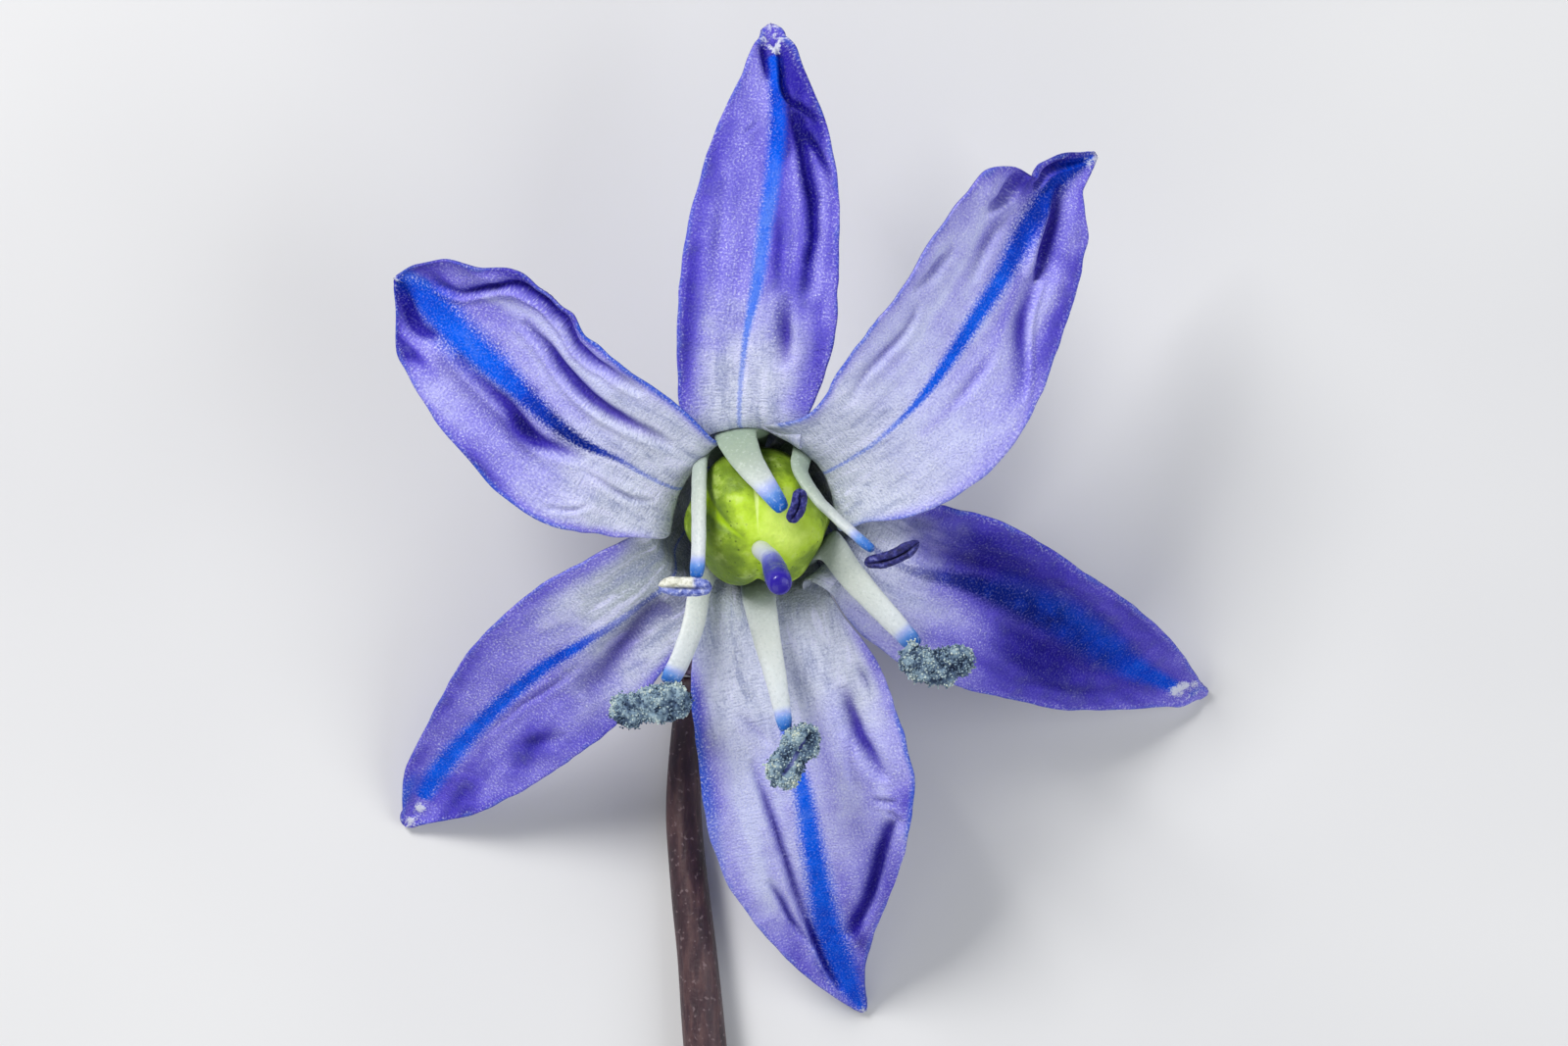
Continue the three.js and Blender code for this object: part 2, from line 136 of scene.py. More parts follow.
def smooth_curve(points, detail):
    """A closely spaced centripetal Catmull-Rom curve through points."""
    p = np.array(points, float)
    p = np.vstack([2 * p[0] - p[1], p, 2 * p[-1] - p[-2]])
    t = np.linspace(0, 1, detail, endpoint=False)[:, None]
    dense = []
    for a, b, c, d in zip(p, p[1:], p[2:], p[3:]):
        ab, bc, cd = (np.linalg.norm(end - start) ** 0.5 for start, end in ((a, b), (b, c), (c, d)))
        leave = ((b - a) / ab - (c - a) / (ab + bc) + (c - b) / bc) * bc
        arrive = ((c - b) / bc - (d - b) / (bc + cd) + (d - c) / cd) * bc
        squares = (-3 * b + 3 * c - 2 * leave - arrive) * t**2
        cubes = (2 * b - 2 * c + leave + arrive) * t**3
        dense.append(b + leave * t + squares + cubes)
    return np.vstack([*dense, p[-2:-1]])


class Path:
    """A smooth path through points, walked by share of its length.

    side is the direction that the path's width keeps to, as nearly as it can."""

    def __init__(self, points, side):
        self.dense = smooth_curve(points, 60)
        steps = np.linalg.norm(np.diff(self.dense, axis=0), axis=1)
        self.walked = np.concatenate([[0], np.cumsum(steps)])
        self.length = self.walked[-1]
        self.side = np.asarray(side, float)

    def point(self, share):
        walked = np.clip(share, 0, 1) * self.length
        return np.stack([np.interp(walked, self.walked, axis) for axis in self.dense.T], -1)

    def at(self, share):
        """The point, and the directions across the path and to its front."""
        step = 0.002
        ahead = unit(self.point(share + step) - self.point(share - step))
        across = unit(self.side - ahead * (ahead @ self.side)[..., None])
        return self.point(share), across, np.cross(across, ahead)


def rooted_path(root, bearing, points):
    """A path out of the receptacle: (out, along) pairs at a bearing, and then points."""
    rise = [beside_axis(out, along, bearing) for out, along in root]
    return Path([*rise, *points], np.cross(beside_axis(1, 0, bearing), AXIS))


def bell_curve(distance, width):
    return np.exp(-((distance / width) ** 2))


def smooth_step(value, start, end):
    share = np.clip((value - start) / (end - start), 0, 1)
    return share * share * (3 - 2 * share)


def rough(points, size, seed=0.0):
    """Smooth random values from about -1 to 1, with bumps of about this size."""
    flat = points.reshape(-1, points.shape[-1]) / size
    third = flat.shape[1] - 1
    values = [noise.noise(Vector((p[0] + seed, p[1] - seed, p[third]))) for p in flat]
    return np.array(values).reshape(points.shape[:-1])


# --- meshes


class Shape:
    """A closed surface: points, faces, and named numbers or vectors at the points."""

    def __init__(self, points, faces, fields, corners=None):
        self.points = points
        self.faces = faces
        self.fields = fields
        self.corners = corners  # a place on the bake's map for each corner of each face


def loft(rings, **fields):
    """One closed surface over rings of points, with a fan at each end.

    The rings turn anticlockwise as seen from the far end."""
    steps, sides = rings.shape[:2]
    count = steps * sides
    ids = np.arange(count).reshape(steps, sides, 1)
    ends = np.full((2, sides, 1), [[[count]], [[count + 1]]])
    cells, fans = cells_and_fans(np.hstack([ids, ids[:, :1]]), *ends)
    points = np.vstack([rings.reshape(-1, 3), rings[0].mean(0), rings[-1].mean(0)])
    at_points = {}
    for name, values in fields.items():
        rows = values.reshape(count, -1)
        at_points[name] = np.vstack([rows, rows[:sides].mean(0), rows[-sides:].mean(0)]).squeeze()
    faces = cells[..., 0].tolist() + fans[..., 0].tolist()
    return Shape(points, faces, at_points, loft_map(steps, sides))


def cells_and_fans(grid, start, end):
    """The corners of a grid's cells, and of the triangles from its ends to start and end."""
    low, high = grid[0], grid[-1]
    cells = np.stack([grid[:-1, :-1], grid[:-1, 1:], grid[1:, 1:], grid[1:, :-1]], 2)
    first = np.stack([start, low[1:], low[:-1]], 1)
    last = np.stack([end, high[:-1], high[1:]], 1)
    return cells.reshape(-1, 4, grid.shape[-1]), np.vstack([first, last])


def loft_map(steps, sides):
    """The corners' places on the map: round the loft in u and along it in v."""
    end_share = 0.02
    u = np.arange(sides + 1) / sides
    v = end_share + (1 - 2 * end_share) * np.arange(steps) / (steps - 1)
    middles = (u[:-1] + u[1:]) / 2
    ends = [np.stack([middles, np.full(sides, level)], -1) for level in (0, 1)]
    cells, fans = cells_and_fans(np.dstack(np.meshgrid(u, v)), *ends)
    return np.vstack([cells.reshape(-1, 2), fans.reshape(-1, 2)])


def stations(values):
    """A half size for a stalk, smooth through values evenly spaced along it."""
    return lambda share: profile(values, share)


def stalk(path, width, steps, sides, depth=None, rounding=0.02, bumps=(0, 1), squeeze=(1, 1, 1)):
    """A stalk along a path, round unless it has a depth of its own.

    width and depth give its half sizes at shares of the way, rounding is the share over
    which each end is rounded off, and bumps are the height and size of its bumps."""
    depth = depth or width
    inner = rounding + (1 - 2 * rounding) * np.arange(steps + 1) / steps
    t = np.concatenate([[0, rounding / 4], inner, [1 - rounding / 4, 1]])
    point, across, front = path.at(t)
    end = np.minimum(1, np.minimum(t, 1 - t) / rounding)
    shrink = 0.6 + 0.4 * np.sqrt(1 - (1 - end) ** 2)
    angle = -2 * np.pi * np.arange(sides) / sides
    along_width = (shrink * width(t))[:, None] * np.cos(angle)
    along_depth = (shrink * depth(t))[:, None] * np.sin(angle)
    offset = along_width[..., None] * across[:, None] + along_depth[..., None] * front[:, None]
    rings = point[:, None] + offset
    height, size = bumps
    if height:
        rings = rings + unit(offset) * height * rough(rings * squeeze, size)[..., None]
    share = np.broadcast_to(t[:, None], rings.shape[:2])
    around = np.broadcast_to(np.arange(sides) / sides, rings.shape[:2])
    return loft(rings, share=share, around=around)


def add_object(name, data):
    made = bpy.data.objects.new(name, data)
    bpy.context.scene.collection.objects.link(made)
    return made


def add_piece(name, shape, material):
    """The shape as an object that stands for the CAD node of its name, in its place."""
    mesh = bpy.data.meshes.new(name)
    mesh.from_pydata(((shape.points + ORIGIN) * MM).tolist(), [], shape.faces)
    for field, values in shape.fields.items():
        kind, key = ("FLOAT", "value") if values.ndim == 1 else ("FLOAT_VECTOR", "vector")
        attribute = mesh.attributes.new(field, kind, "POINT")
        attribute.data.foreach_set(key, values.astype(np.float32).ravel())
    if shape.corners is not None:
        layer = mesh.uv_layers.new(name="OFBake")
        layer.uv.foreach_set("vector", shape.corners.astype(np.float32).ravel())
    mesh.polygons.foreach_set("use_smooth", [True] * len(mesh.polygons))
    mesh.materials.append(material)
    piece = add_object(name, mesh)
    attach(piece, "root")
    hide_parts(name)


# --- material nodes


def colour(red, green, blue):
    """A colour as a screen shows it, in the linear values that a shader takes."""
    screen = np.array([red, green, blue]) / 255
    linear = np.where(screen <= 0.04045, screen / 12.92, ((screen + 0.055) / 1.055) ** 2.4)
    return (*linear, 1.0)


class Nodes:
    """A material's nodes, with a short call for each kind that is used here."""

    def __init__(self, name):
        self.material = bpy.data.materials.new(name)
        self.material.use_nodes = True
        self.tree = self.material.node_tree
        self.surface = self.tree.nodes["Principled BSDF"]

    def feed(self, socket, value):
        if isinstance(value, bpy.types.NodeSocket):
            self.tree.links.new(value, socket)
        else:
            socket.default_value = value

    def add(self, kind, inputs, **settings):
        node = self.tree.nodes.new(kind)
        for key, value in settings.items():
            setattr(node, key, value)
        for key, value in inputs.items():
            self.feed(node.inputs[key], value)
        return node

    def finish(self, **inputs):
        """Feeds the surface's sockets, named with _ for a space, and gives the material."""
        for key, value in inputs.items():
            self.feed(self.surface.inputs[key.replace("_", " ")], value)
        return self.material

    def number(self, attribute):
        return self.add("ShaderNodeAttribute", {}, attribute_name=attribute).outputs["Fac"]

    def vector(self, attribute):
        return self.add("ShaderNodeAttribute", {}, attribute_name=attribute).outputs["Vector"]

    def place(self):
        """The place on the object, in millimetres."""
        metres = self.add("ShaderNodeTexCoord", {}).outputs["Object"]
        return self.stretch(metres, (1 / MM, 1 / MM, 1 / MM))

    def stretch(self, vector, factors):
        inputs = {0: vector, 1: factors}
        return self.add("ShaderNodeVectorMath", inputs, operation="MULTIPLY").outputs["Vector"]

    def noise(self, vector, per_mm, detail=2.0, roughness=0.5):
        """Soft random values round 0.5, with about this many bumps in a millimetre."""
        inputs = {"Vector": vector, "Scale": per_mm, "Detail": detail, "Roughness": roughness}
        return self.add("ShaderNodeTexNoise", inputs).outputs["Fac"]

    def cells(self, vector, per_mm):
        """The distance to the nearest of randomly placed points."""
        inputs = {"Vector": vector, "Scale": per_mm}
        return self.add("ShaderNodeTexVoronoi", inputs).outputs["Distance"]

    def math(self, operation, a, b=0.0, clamp=False):
        inputs = {0: a, 1: b}
        return self.add("ShaderNodeMath", inputs, operation=operation, use_clamp=clamp).outputs[0]

    def centred(self, value):
        return self.math("SUBTRACT", value, 0.5)

    def times(self, a, b):
        return self.math("MULTIPLY", a, b)

    def plus(self, value, other, weight=1.0, clamp=False):
        """value with this much of the other added."""
        other = other if weight == 1 else self.times(other, weight)
        return self.math("ADD", value, other, clamp)

    def step(self, value, start, end, low=0.0, high=1.0):
        """Turns smoothly from low to high as value goes from start to end."""
        inputs = {"Value": value, "From Min": start, "From Max": end, "To Min": low, "To Max": high}
        node = self.add("ShaderNodeMapRange", inputs, interpolation_type="SMOOTHSTEP")
        return node.outputs["Result"]

    def mix(self, share, first, second, blend="MIX"):
        inputs = {0: share, 6: first, 7: second}
        return self.add("ShaderNodeMix", inputs, data_type="RGBA", blend_type=blend).outputs[2]

    def tint(self, shown, tinted, value, start, end, most=1.0, blend="MIX"):
        """Turns from shown towards tinted as value goes from start to end."""
        return self.mix(self.step(value, start, end, 0.0, most), shown, tinted, blend)

    def ramp(self, value, stops):
        """A colour that changes with value through stops of (value, red, green, blue)."""
        node = self.add("ShaderNodeValToRGB", {"Fac": value})
        elements = node.color_ramp.elements
        elements[0].position = stops[0][0]
        elements[1].position = stops[-1][0]
        for position, *_ in stops[1:-1]:
            elements.new(position)
        for element, (_, *shown) in zip(elements, stops):
            element.color = colour(*shown)
        return node.outputs["Color"]

    def bump(self, height, distance_mm, strength=1.0, normal=None):
        inputs = {"Height": height, "Distance": distance_mm * MM, "Strength": strength}
        if normal is not None:
            inputs["Normal"] = normal
        return self.add("ShaderNodeBump", inputs).outputs["Normal"]


# --- the tepals

# A place on a tepal is (t, s) in percent: t along it from its foot, and s from the midrib
# out to the margin, below 0 on the left. Sizes on a tepal are in millimetres.


class Crease(NamedTuple):
    """A valley along a route of places, with a ridge on each side and painted shade along its bottom.

    A pair of widths is for its left and its right, so that a fold is sharp on one side."""

    route: list
    width: object
    depth: float
    # how deep the painted shade along its bottom is
    dark: float
    lips: tuple = (0.03, 0.03)  # the heights of the ridges to its left and right


class Tepal(NamedTuple):
    """A tepal. Lists of numbers are stations along it, from its foot to its tip."""

    whorl: str
    bearing: float
    midrib: list  # points of the midrib, beyond the bell
    left: list  # half widths to the left and the right of the midrib
    right: list
    curl: list  # how far the margins turn up, in degrees
    tip_radius: float
    drift: list  # how far the blue stripe lies to the right of the midrib
    stripe: list  # the stripe's half width
    blue: list  # and how deep its blue is
    stripe_end: float
    base: tuple  # where the white foot starts and ends turning to lavender
    left_tone: list  # how deep the lavender is to each side
    right_tone: list
    rim: tuple  # how wide the left and the right margins' own tone is, and how much deeper
    creases: list
    spots: dict  # oval spots on each painted field: (t, s, length, width, amount)
    lines: dict = {}  # soft lines on each: (places, width, amount)
    scallops: tuple = ()  # where a margin stands out: (-1 left or 1 right, t, length, how far)


# Each whorl leaves the receptacle along the same bell: how far out from the axis and
# how far along it. The outer whorl wraps the inner one.
BELL = {
    "inner": [(1.0, 0.06), (1.9, 0.5), (2.38, 1.35)],
    "outer": [(1.04, -0.24), (2.12, 0.2), (2.7, 1.2)],
}

TEPALS = {}

TEPALS["top"] = Tepal(
    whorl="outer", bearing=90, tip_radius=0.42,
    midrib=[(-0.3, 1.6, 3.1), (-0.2, 3.7, 4), (0.15, 6.4, 4), (0.5, 9, 3.7), (0.6, 11, 3.1),
        (0.45, 12.45, 2.5)],
    left=[0.5, 1.45, 1.6, 1.8, 1.95, 2.05, 2, 1.85, 1.5, 0.95, 0.12],
    right=[0.5, 1.4, 1.6, 2, 2.35, 2.3, 2.15, 1.9, 1.45, 0.8, 0.12],
    curl=[30, 40, 36, 18, 14, 14, 16, 18, 24, 40, 70],
    drift=[0, -0.05, -0.08, -0.08, -0.05, 0.07, 0.07, 0.09, 0.08, -0.05, -0.1],
    stripe=[0.03, 0.04, 0.05, 0.06, 0.08, 0.15, 0.18, 0.2, 0.21, 0.18, 0.16],
    blue=[0.4, 0.3, 0.15, 0.15, 0.25, 0.5, 0.45],
    stripe_end=0.94, base=(0.26, 0.56), rim=(0.7, 0.8, 0.12),
    left_tone=[0.5, 0.52, 0.52, 0.56, 0.62, 0.6], right_tone=[0.5, 0.55, 0.6, 0.62, 0.65, 0.75],
    creases=[
        Crease([(83.6, 32), (79.3, 42), (75.3, 47), (70.6, 52), (65.9, 60), (60, 64), (54, 60), (48.2, 60)],
            (0.22, 0.1), 0.34, 1.15, (0.02, 0.06)),
        Crease([(49, 40), (43.8, 42), (40.1, 45), (35, 50)], (0.16, 0.28), 0.24, 0.95),
        Crease([(95, 30), (91, 18), (87, 16), (84.3, 30), (82.9, 58), (80.3, 85)], (0.12, 0.06), 0.2, 1.3,
            (0, 0.12)),
        Crease([(79, 55), (76.9, 66), (73.9, 80), (70, 93)], 0.1, 0.16, 1),
        Crease([(96, -60), (94.3, -50), (91.6, -33), (88, -20)], (0.08, 0.14), 0.12, 1.2),
        Crease([(77.5, -52), (79.9, -30)], 0.06, 0.06, 0.45),
        Crease([(70, -62), (58.5, -57), (51.8, -53), (42, -52)], 0.14, 0.05, 0.3),
        Crease([(65, 12), (57.5, 23), (50, 28)], 0.1, 0.04, 0.25),
    ],
    lines={
        "tuft": [([(96.6, -70), (95.3, -30), (94.1, 2)], 0.07, 0.5),
            ([(94.1, 0), (95, 30), (96.2, 66)], 0.09, 0.95)],
        "tone": [([(75, 62), (68.9, 76), (62.9, 76), (50, 74)], 0.2, -0.25),
            ([(74, 32), (65.6, 42), (55.5, 43)], 0.1, -0.1), ([(90, 25), (82, 22), (75, 20)], 0.16, 0.45),
            ([(75, 16), (65, 16), (57.5, 23), (50, 26)], 0.16, 0.25)],
    },
    spots={
        "lift": [(88, 52, 0.7, 0.3, 0.14), (65, 36, 2.4, 0.2, 0.07), (69, 80, 1.6, 0.25, 0.08)],
        "shade": [(79, 45, 0.6, 0.36, 0.75)],
        "tone": [(88, -45, 1.1, 0.7, -0.2), (90, 80, 0.8, 0.3, 0.4), (45, -85, 2.6, 0.35, 0.3),
            (55, 60, 1.6, 0.5, 0.15), (80, 75, 1.6, 0.4, 0.3), (93, 0, 0.45, 0.5, 0.35)],
        "azure": [(92, 0, 0.4, 0.4, 0.35)],
        "tuft": [(99, 0, 0.45, 0.5, 0.5)],
    },
    scallops=[(-1, 94.5, 0.5, 0.16), (1, 94.5, 0.5, 0.16)],
)

TEPALS["right_upper"] = Tepal(
    whorl="inner", bearing=33, tip_radius=0.2,
    midrib=[(1.88, 0.45, 2.66), (3.4, 1.28, 3.7), (5.05, 2.8, 3.95), (6.4, 5.05, 3.8), (7.45, 6.95, 3.5),
        (8.4, 8.3, 3.1), (9.3, 8.9, 2.7)],
    left=[0.42, 1.15, 1.35, 1.85, 2.5, 2.7, 2.65, 2.65, 2.4, 1, 0.12],
    right=[0.42, 1.25, 1.8, 2.45, 2.75, 2.75, 2.55, 2.25, 1.9, 1.1, 0.12],
    curl=[30, 36, 30, 16, 14, 16, 18, 22, 28, 46, 70],
    drift=[0, 0.1, 0.18, 0.1, -0.02, -0.15, -0.12, 0, -0.05, -0.1, 0],
    stripe=[0.03, 0.03, 0.04, 0.05, 0.08, 0.16, 0.22, 0.26, 0.34, 0.32, 0.12],
    blue=[0.4, 0.3, 0.3, 0.4, 0.4, 0.7, 0.55],
    stripe_end=1, base=(0.24, 0.5), rim=(0.2, 0.3, 0.25),
    left_tone=[0.05, 0.08, 0.1, 0.14, 0.32, 0.7], right_tone=[0, 0.02, 0.12, 0.26, 0.42, 0.5],
    creases=[
        Crease([(87.5, -97), (84.6, -68), (82.3, -57), (80.3, -55), (78.6, -63)], (0.12, 0.18), 0.26, 0.7,
            (0.16, 0)),
        Crease([(97.5, -20), (94, -42), (90, -62), (88, -47), (86.3, -37)], (0.06, 0.12), 0.2, 0.8,
            (0.16, 0)),
        Crease([(91, 5), (85.3, 28), (81.6, 33), (77.3, 38), (73, 48)], (0.3, 0.14), 0.34, 1.15, (0, 0.2)),
        Crease([(82, -42), (76.3, -35), (73.2, -35), (66, -28)], (0.14, 0.24), 0.14, 0.55),
        Crease([(70, -70), (66.2, -75), (63.5, -78), (59.5, -87)], 0.16, 0.14, 0.6),
        Crease([(58, -72), (55.2, -68), (49.8, -67), (44.5, -68), (39.1, -70), (34, -62)], (0.12, 0.14),
            0.1, 0.6, (0.02, 0)),
        Crease([(76, 43), (68.2, 48), (64.2, 55), (60.5, 65), (53, 85)], (0.08, 0.36), 0.2, 0.95, (0.1, 0)),
        Crease([(58, 33), (50.5, 28), (46, 26)], 0.12, 0.05, 0.25),
    ],
    lines={
        "tone": [([(78, -62), (70, -50), (60, -50), (50, -48)], 0.16, -0.15),
            ([(72, 20), (62, 30), (50, 28), (40, 26)], 0.14, 0.2)],
        "azure": [([(50, -100), (40, -100), (30, -100), (22, -100)], 0.1, 0.7),
            ([(30, 100), (22, 100), (16, 100)], 0.16, 0.5)],
    },
    spots={
        "lift": [(84, 62, 0.8, 0.45, 0.24), (74, 70, 0.8, 0.3, 0.12), (82, -85, 0.6, 0.3, 0.14)],
        "tone": [(60, 84, 1.3, 0.35, 0.45), (67, -42, 1.4, 0.2, 0.15), (85, 62, 1.1, 0.5, 0.1),
            (79, 70, 0.4, 0.4, 0.3), (86, -62, 0.4, 0.4, 0.55), (93, -70, 0.8, 0.4, 0.35),
            (72, 88, 1.4, 0.3, 0.25)],
        "shade": [(90, 0, 0.5, 0.3, 0.3)],
        "tuft": [(99, 35, 0.28, 0.24, 1)],
    },
    scallops=[(-1, 19.5, 0.7, 0.65), (-1, 83.8, 0.42, 0.5), (-1, 88, 0.13, -0.6), (-1, 93, 0.4, 0.08),
        (1, 85.5, 0.35, 0.12), (1, 93, 0.3, -0.1)],
)

TEPALS["right_lower"] = Tepal(
    whorl="outer", bearing=-28, tip_radius=0.24,
    midrib=[(2.8, -1.5, 1.5), (4.3, -2.35, 1.75), (6.2, -2.95, 1.2), (8.1, -3.75, 0), (9.8, -4.7, -1.45),
        (11.5, -5.55, -3.1), (12.65, -5.9, -4.08)],
    left=[0.5, 1.5, 1.8, 2.05, 2.25, 2, 1.75, 1.65, 1.4, 0.95, 0.12],
    right=[0.5, 1.4, 1.65, 2.3, 2.85, 2.85, 2.65, 2.25, 1.6, 0.85, 0.12],
    curl=[30, 40, 34, 14, 10, 10, 12, 14, 20, 34, 60],
    drift=[0, 0, 0, 0.05, -0.1, -0.1, -0.15, -0.1, 0, 0, 0],
    stripe=[0.03, 0.03, 0.05, 0.1, 0.2, 0.34, 0.46, 0.48, 0.36, 0.2, 0.1],
    blue=[0.3, 0.6, 0.95, 1, 0.85, 0.6, 0.35],
    stripe_end=0.93, base=(0.22, 0.46), rim=(0.5, 0.5, -0.15),
    # Its tones are deeper than the others': partly its own violet, partly painted shade, as it lies in
    # shadow.
    left_tone=[0.2, 0.7, 0.95, 1, 0.9, 0.7], right_tone=[0.1, 0.15, 0.6, 0.95, 0.95, 0.8],
    creases=[
        Crease([(30, -30), (40, -25), (50, -28), (60, -35)], 0.35, 0.14, 0.3),
        Crease([(50, 20), (65, 30), (80, 30)], 0.3, 0.1, 0.2),
        Crease([(62, 75), (72, 70), (84, 50)], 0.12, 0.06, 0.25),
    ],
    lines={
        "tuft": [([(92, 30), (93, 0), (94, -35), (95.5, -70)], 0.15, 0.6)],
        "azure": [([(96.5, 30), (97, -40)], 0.16, 0.6), ([(75, -25), (60, -35), (48, -30)], 0.5, 0.4)],
    },
    spots={
        "lift": [(60, 60, 2.5, 0.8, 0.12), (60, -85, 2.5, 0.3, 0.08)],
        # Broad painted shadow over much of the blade.
        "shade": [(40, -55, 2.6, 0.9, 0.75), (62, 42, 1.9, 0.8, 0.7)],
        "tuft": [(93, 10, 0.24, 0.32, 0.55), (96.5, -10, 0.3, 0.34, 0.4)],
        "tone": [(40, 35, 1.6, 0.5, -0.35), (45, 80, 1.8, 0.5, -0.2)],
    },
    scallops=[(1, 95.5, 0.35, 0.12)],
)

TEPALS["bottom"] = Tepal(
    whorl="inner", bearing=-88, tip_radius=0.16,
    midrib=[(0.05, -3.45, 0.95), (0.4, -5.3, 1.15), (0.8, -6.9, 0.95), (1.2, -8.3, 0.5),
        (1.75, -10.5, -0.7), (2.2, -12.4, -2.2), (2.65, -13.85, -3.35), (3.05, -14.8, -4.08)],
    left=[0.42, 1.25, 2.15, 2.9, 3.2, 3.2, 2.85, 2.1, 1.3, 0.6, 0.12],
    right=[0.42, 1.25, 1.8, 2.2, 2.45, 2.7, 2.7, 2.35, 1.75, 1, 0.12],
    curl=[30, 38, 34, 16, 14, 16, 18, 24, 34, 50, 70],
    drift=[0, 0, 0, 0, -0.05, -0.08, 0.02, 0.1, 0.16, 0.1, 0],
    stripe=[0.03, 0.03, 0.04, 0.05, 0.1, 0.22, 0.28, 0.34, 0.44, 0.46, 0.14],
    blue=[0.3, 0.3, 0.25, 0.3, 0.4, 0.5, 0.5],
    stripe_end=1, base=(0.3, 0.5), rim=(0.3, 0.45, 0.12),
    left_tone=[0.05, 0.1, 0.25, 0.28, 0.6, 0.75], right_tone=[0.05, 0.1, 0.15, 0.2, 0.3, 0.5],
    creases=[
        Crease([(34.5, -63), (39.5, -62), (44.1, -63), (47.5, -68), (52, -75)], (0.18, 0.2), 0.3, 1,
            (0.07, 0.08)),
        Crease([(31, -84), (34.1, -82), (37, -82)], 0.09, 0.12, 0.5),
        Crease([(43, -56), (49.2, -48), (53, -48)], 0.1, 0.1, 0.35),
        Crease([(54.8, -62), (56, -85)], 0.08, 0.14, 0.6),
        Crease([(57, -76), (60, -92)], 0.09, 0.1, 0.45),
        Crease([(59, -83), (60.9, -78), (66.6, -73), (72.2, -70), (76.9, -62), (83, -36)], (0.14, 0.26),
            0.34, 1.15, (0.12, 0.04)),
        Crease([(35, 45), (39.1, 27), (41.5, 20)], 0.1, 0.1, 0.45),
        Crease([(43, 42), (49.5, 38), (54.5, 35), (63.9, 33), (70.6, 35), (77.6, 37), (86, 42)],
            (0.14, 0.1), 0.24, 0.85, (0.04, 0.08)),
        Crease([(66, 60), (71.2, 55), (76.6, 55), (83, 46)], (0.12, 0.08), 0.2, 0.8),
        Crease([(77, 36), (87, 46), (94, 60)], (0.14, 0.06), 0.16, 0.8, (0, 0.1)),
    ],
    lines={
        "tone": [([(72, 70), (60, 60), (50, 58), (40, 50)], 0.25, -0.2)],
        "azure": [([(62, -100), (52, -100), (42, -100)], 0.14, 0.7),
            ([(60, 100), (45, 100), (30, 100)], 0.3, 0.45)],
    },
    spots={
        "lift": [(62, 60, 1.8, 0.3, 0.08), (70, -35, 1.8, 0.3, 0.08), (45, -85, 1.5, 0.3, 0.08)],
        "azure": [(42, 100, 2.2, 0.42, 0.42)],
        "tone": [(42, 92, 2, 0.4, 0.3), (83, 75, 1.4, 0.4, 0.3), (70, -95, 2, 0.25, 0.25),
            (56, -95, 0.6, 0.35, 0.4), (45, 55, 1.6, 0.35, -0.15), (32, 95, 0.9, 0.35, 0.35),
            (32, -95, 0.9, 0.35, 0.25)],
        "shade": [(82, -60, 0.9, 0.3, 0.6), (88, 62, 0.5, 0.2, 0.5)],
        "tuft": [(25, 45, 0.7, 0.22, 0.32), (33, 25, 0.6, 0.2, 0.28), (99.5, 0, 0.2, 0.2, 0.9)],
    },
    scallops=[(-1, 53, 0.5, 0.07), (-1, 60, 0.4, -0.05)],
)

TEPALS["left_lower"] = Tepal(
    whorl="outer", bearing=-148, tip_radius=0.36,
    midrib=[(-2.3, -2.6, 1.15), (-3.2, -3.3, 1.25), (-4.6, -4.25, 0.8), (-6.2, -5.35, -0.2), (-7.9, -7, -2),
        (-9.05, -8.4, -3.3), (-9.8, -9.6, -4.08)],
    left=[0.5, 1.5, 1.75, 1.9, 2.3, 2.6, 2.55, 2.35, 2, 1.4, 0.12],
    right=[0.5, 1.5, 1.85, 2, 2.1, 1.95, 1.7, 1.4, 1.1, 0.85, 0.12],
    curl=[30, 40, 34, 14, 10, 10, 12, 14, 20, 34, 60],
    drift=[0, 0, 0, -0.1, -0.05, 0, 0, 0.03, 0.05, 0.05, 0],
    stripe=[0.03, 0.03, 0.05, 0.08, 0.12, 0.17, 0.2, 0.22, 0.26, 0.26, 0.12],
    blue=[0.4, 0.5, 0.6, 0.5, 0.45, 0.4, 0.45],
    stripe_end=0.935, base=(0.28, 0.58), rim=(0.25, 0.5, 0.15),
    left_tone=[0.3, 0.35, 0.55, 0.58, 0.58, 0.62], right_tone=[0.2, 0.3, 0.45, 0.55, 0.6, 0.6],
    creases=[
        Crease([(25, -20), (29.4, -23), (34.1, -33), (38.5, -38), (43.8, -47), (50, -50)], (0.42, 0.34),
            0.28, 0.8, (0.05, 0.05)),
        Crease([(70, -50), (64.9, -63), (59, -74)], 0.2, 0.1, 0.3),
        Crease([(45, -22), (54.2, -22), (61.2, -17), (72, -15)], 0.08, 0.07, 0.35),
    ],
    spots={
        "lift": [(60, -55, 2, 0.7, 0.06)],
        "tone": [(67, -60, 1.1, 0.45, 0.36), (55, 85, 3.5, 0.35, 0.1), (88, -60, 1.2, 0.8, 0.3),
            (45, -75, 1.6, 0.4, -0.15)],
        "shade": [(64, -70, 1.1, 0.55, 0.12), (50, -75, 0.9, 0.7, 0.4), (24, -30, 0.7, 0.6, 0.5)],
        "azure": [(93, 90, 0.8, 0.3, 0.8)],
        # Painted shade: greys the foot where it lies in shade, like the shade spot there.
        "claw": [(28, 20, 2.2, 1.6, 0.9)],
        "tuft": [(94.6, -10, 0.2, 0.18, 1.1), (98.5, -20, 0.26, 0.24, 1)],
    },
)

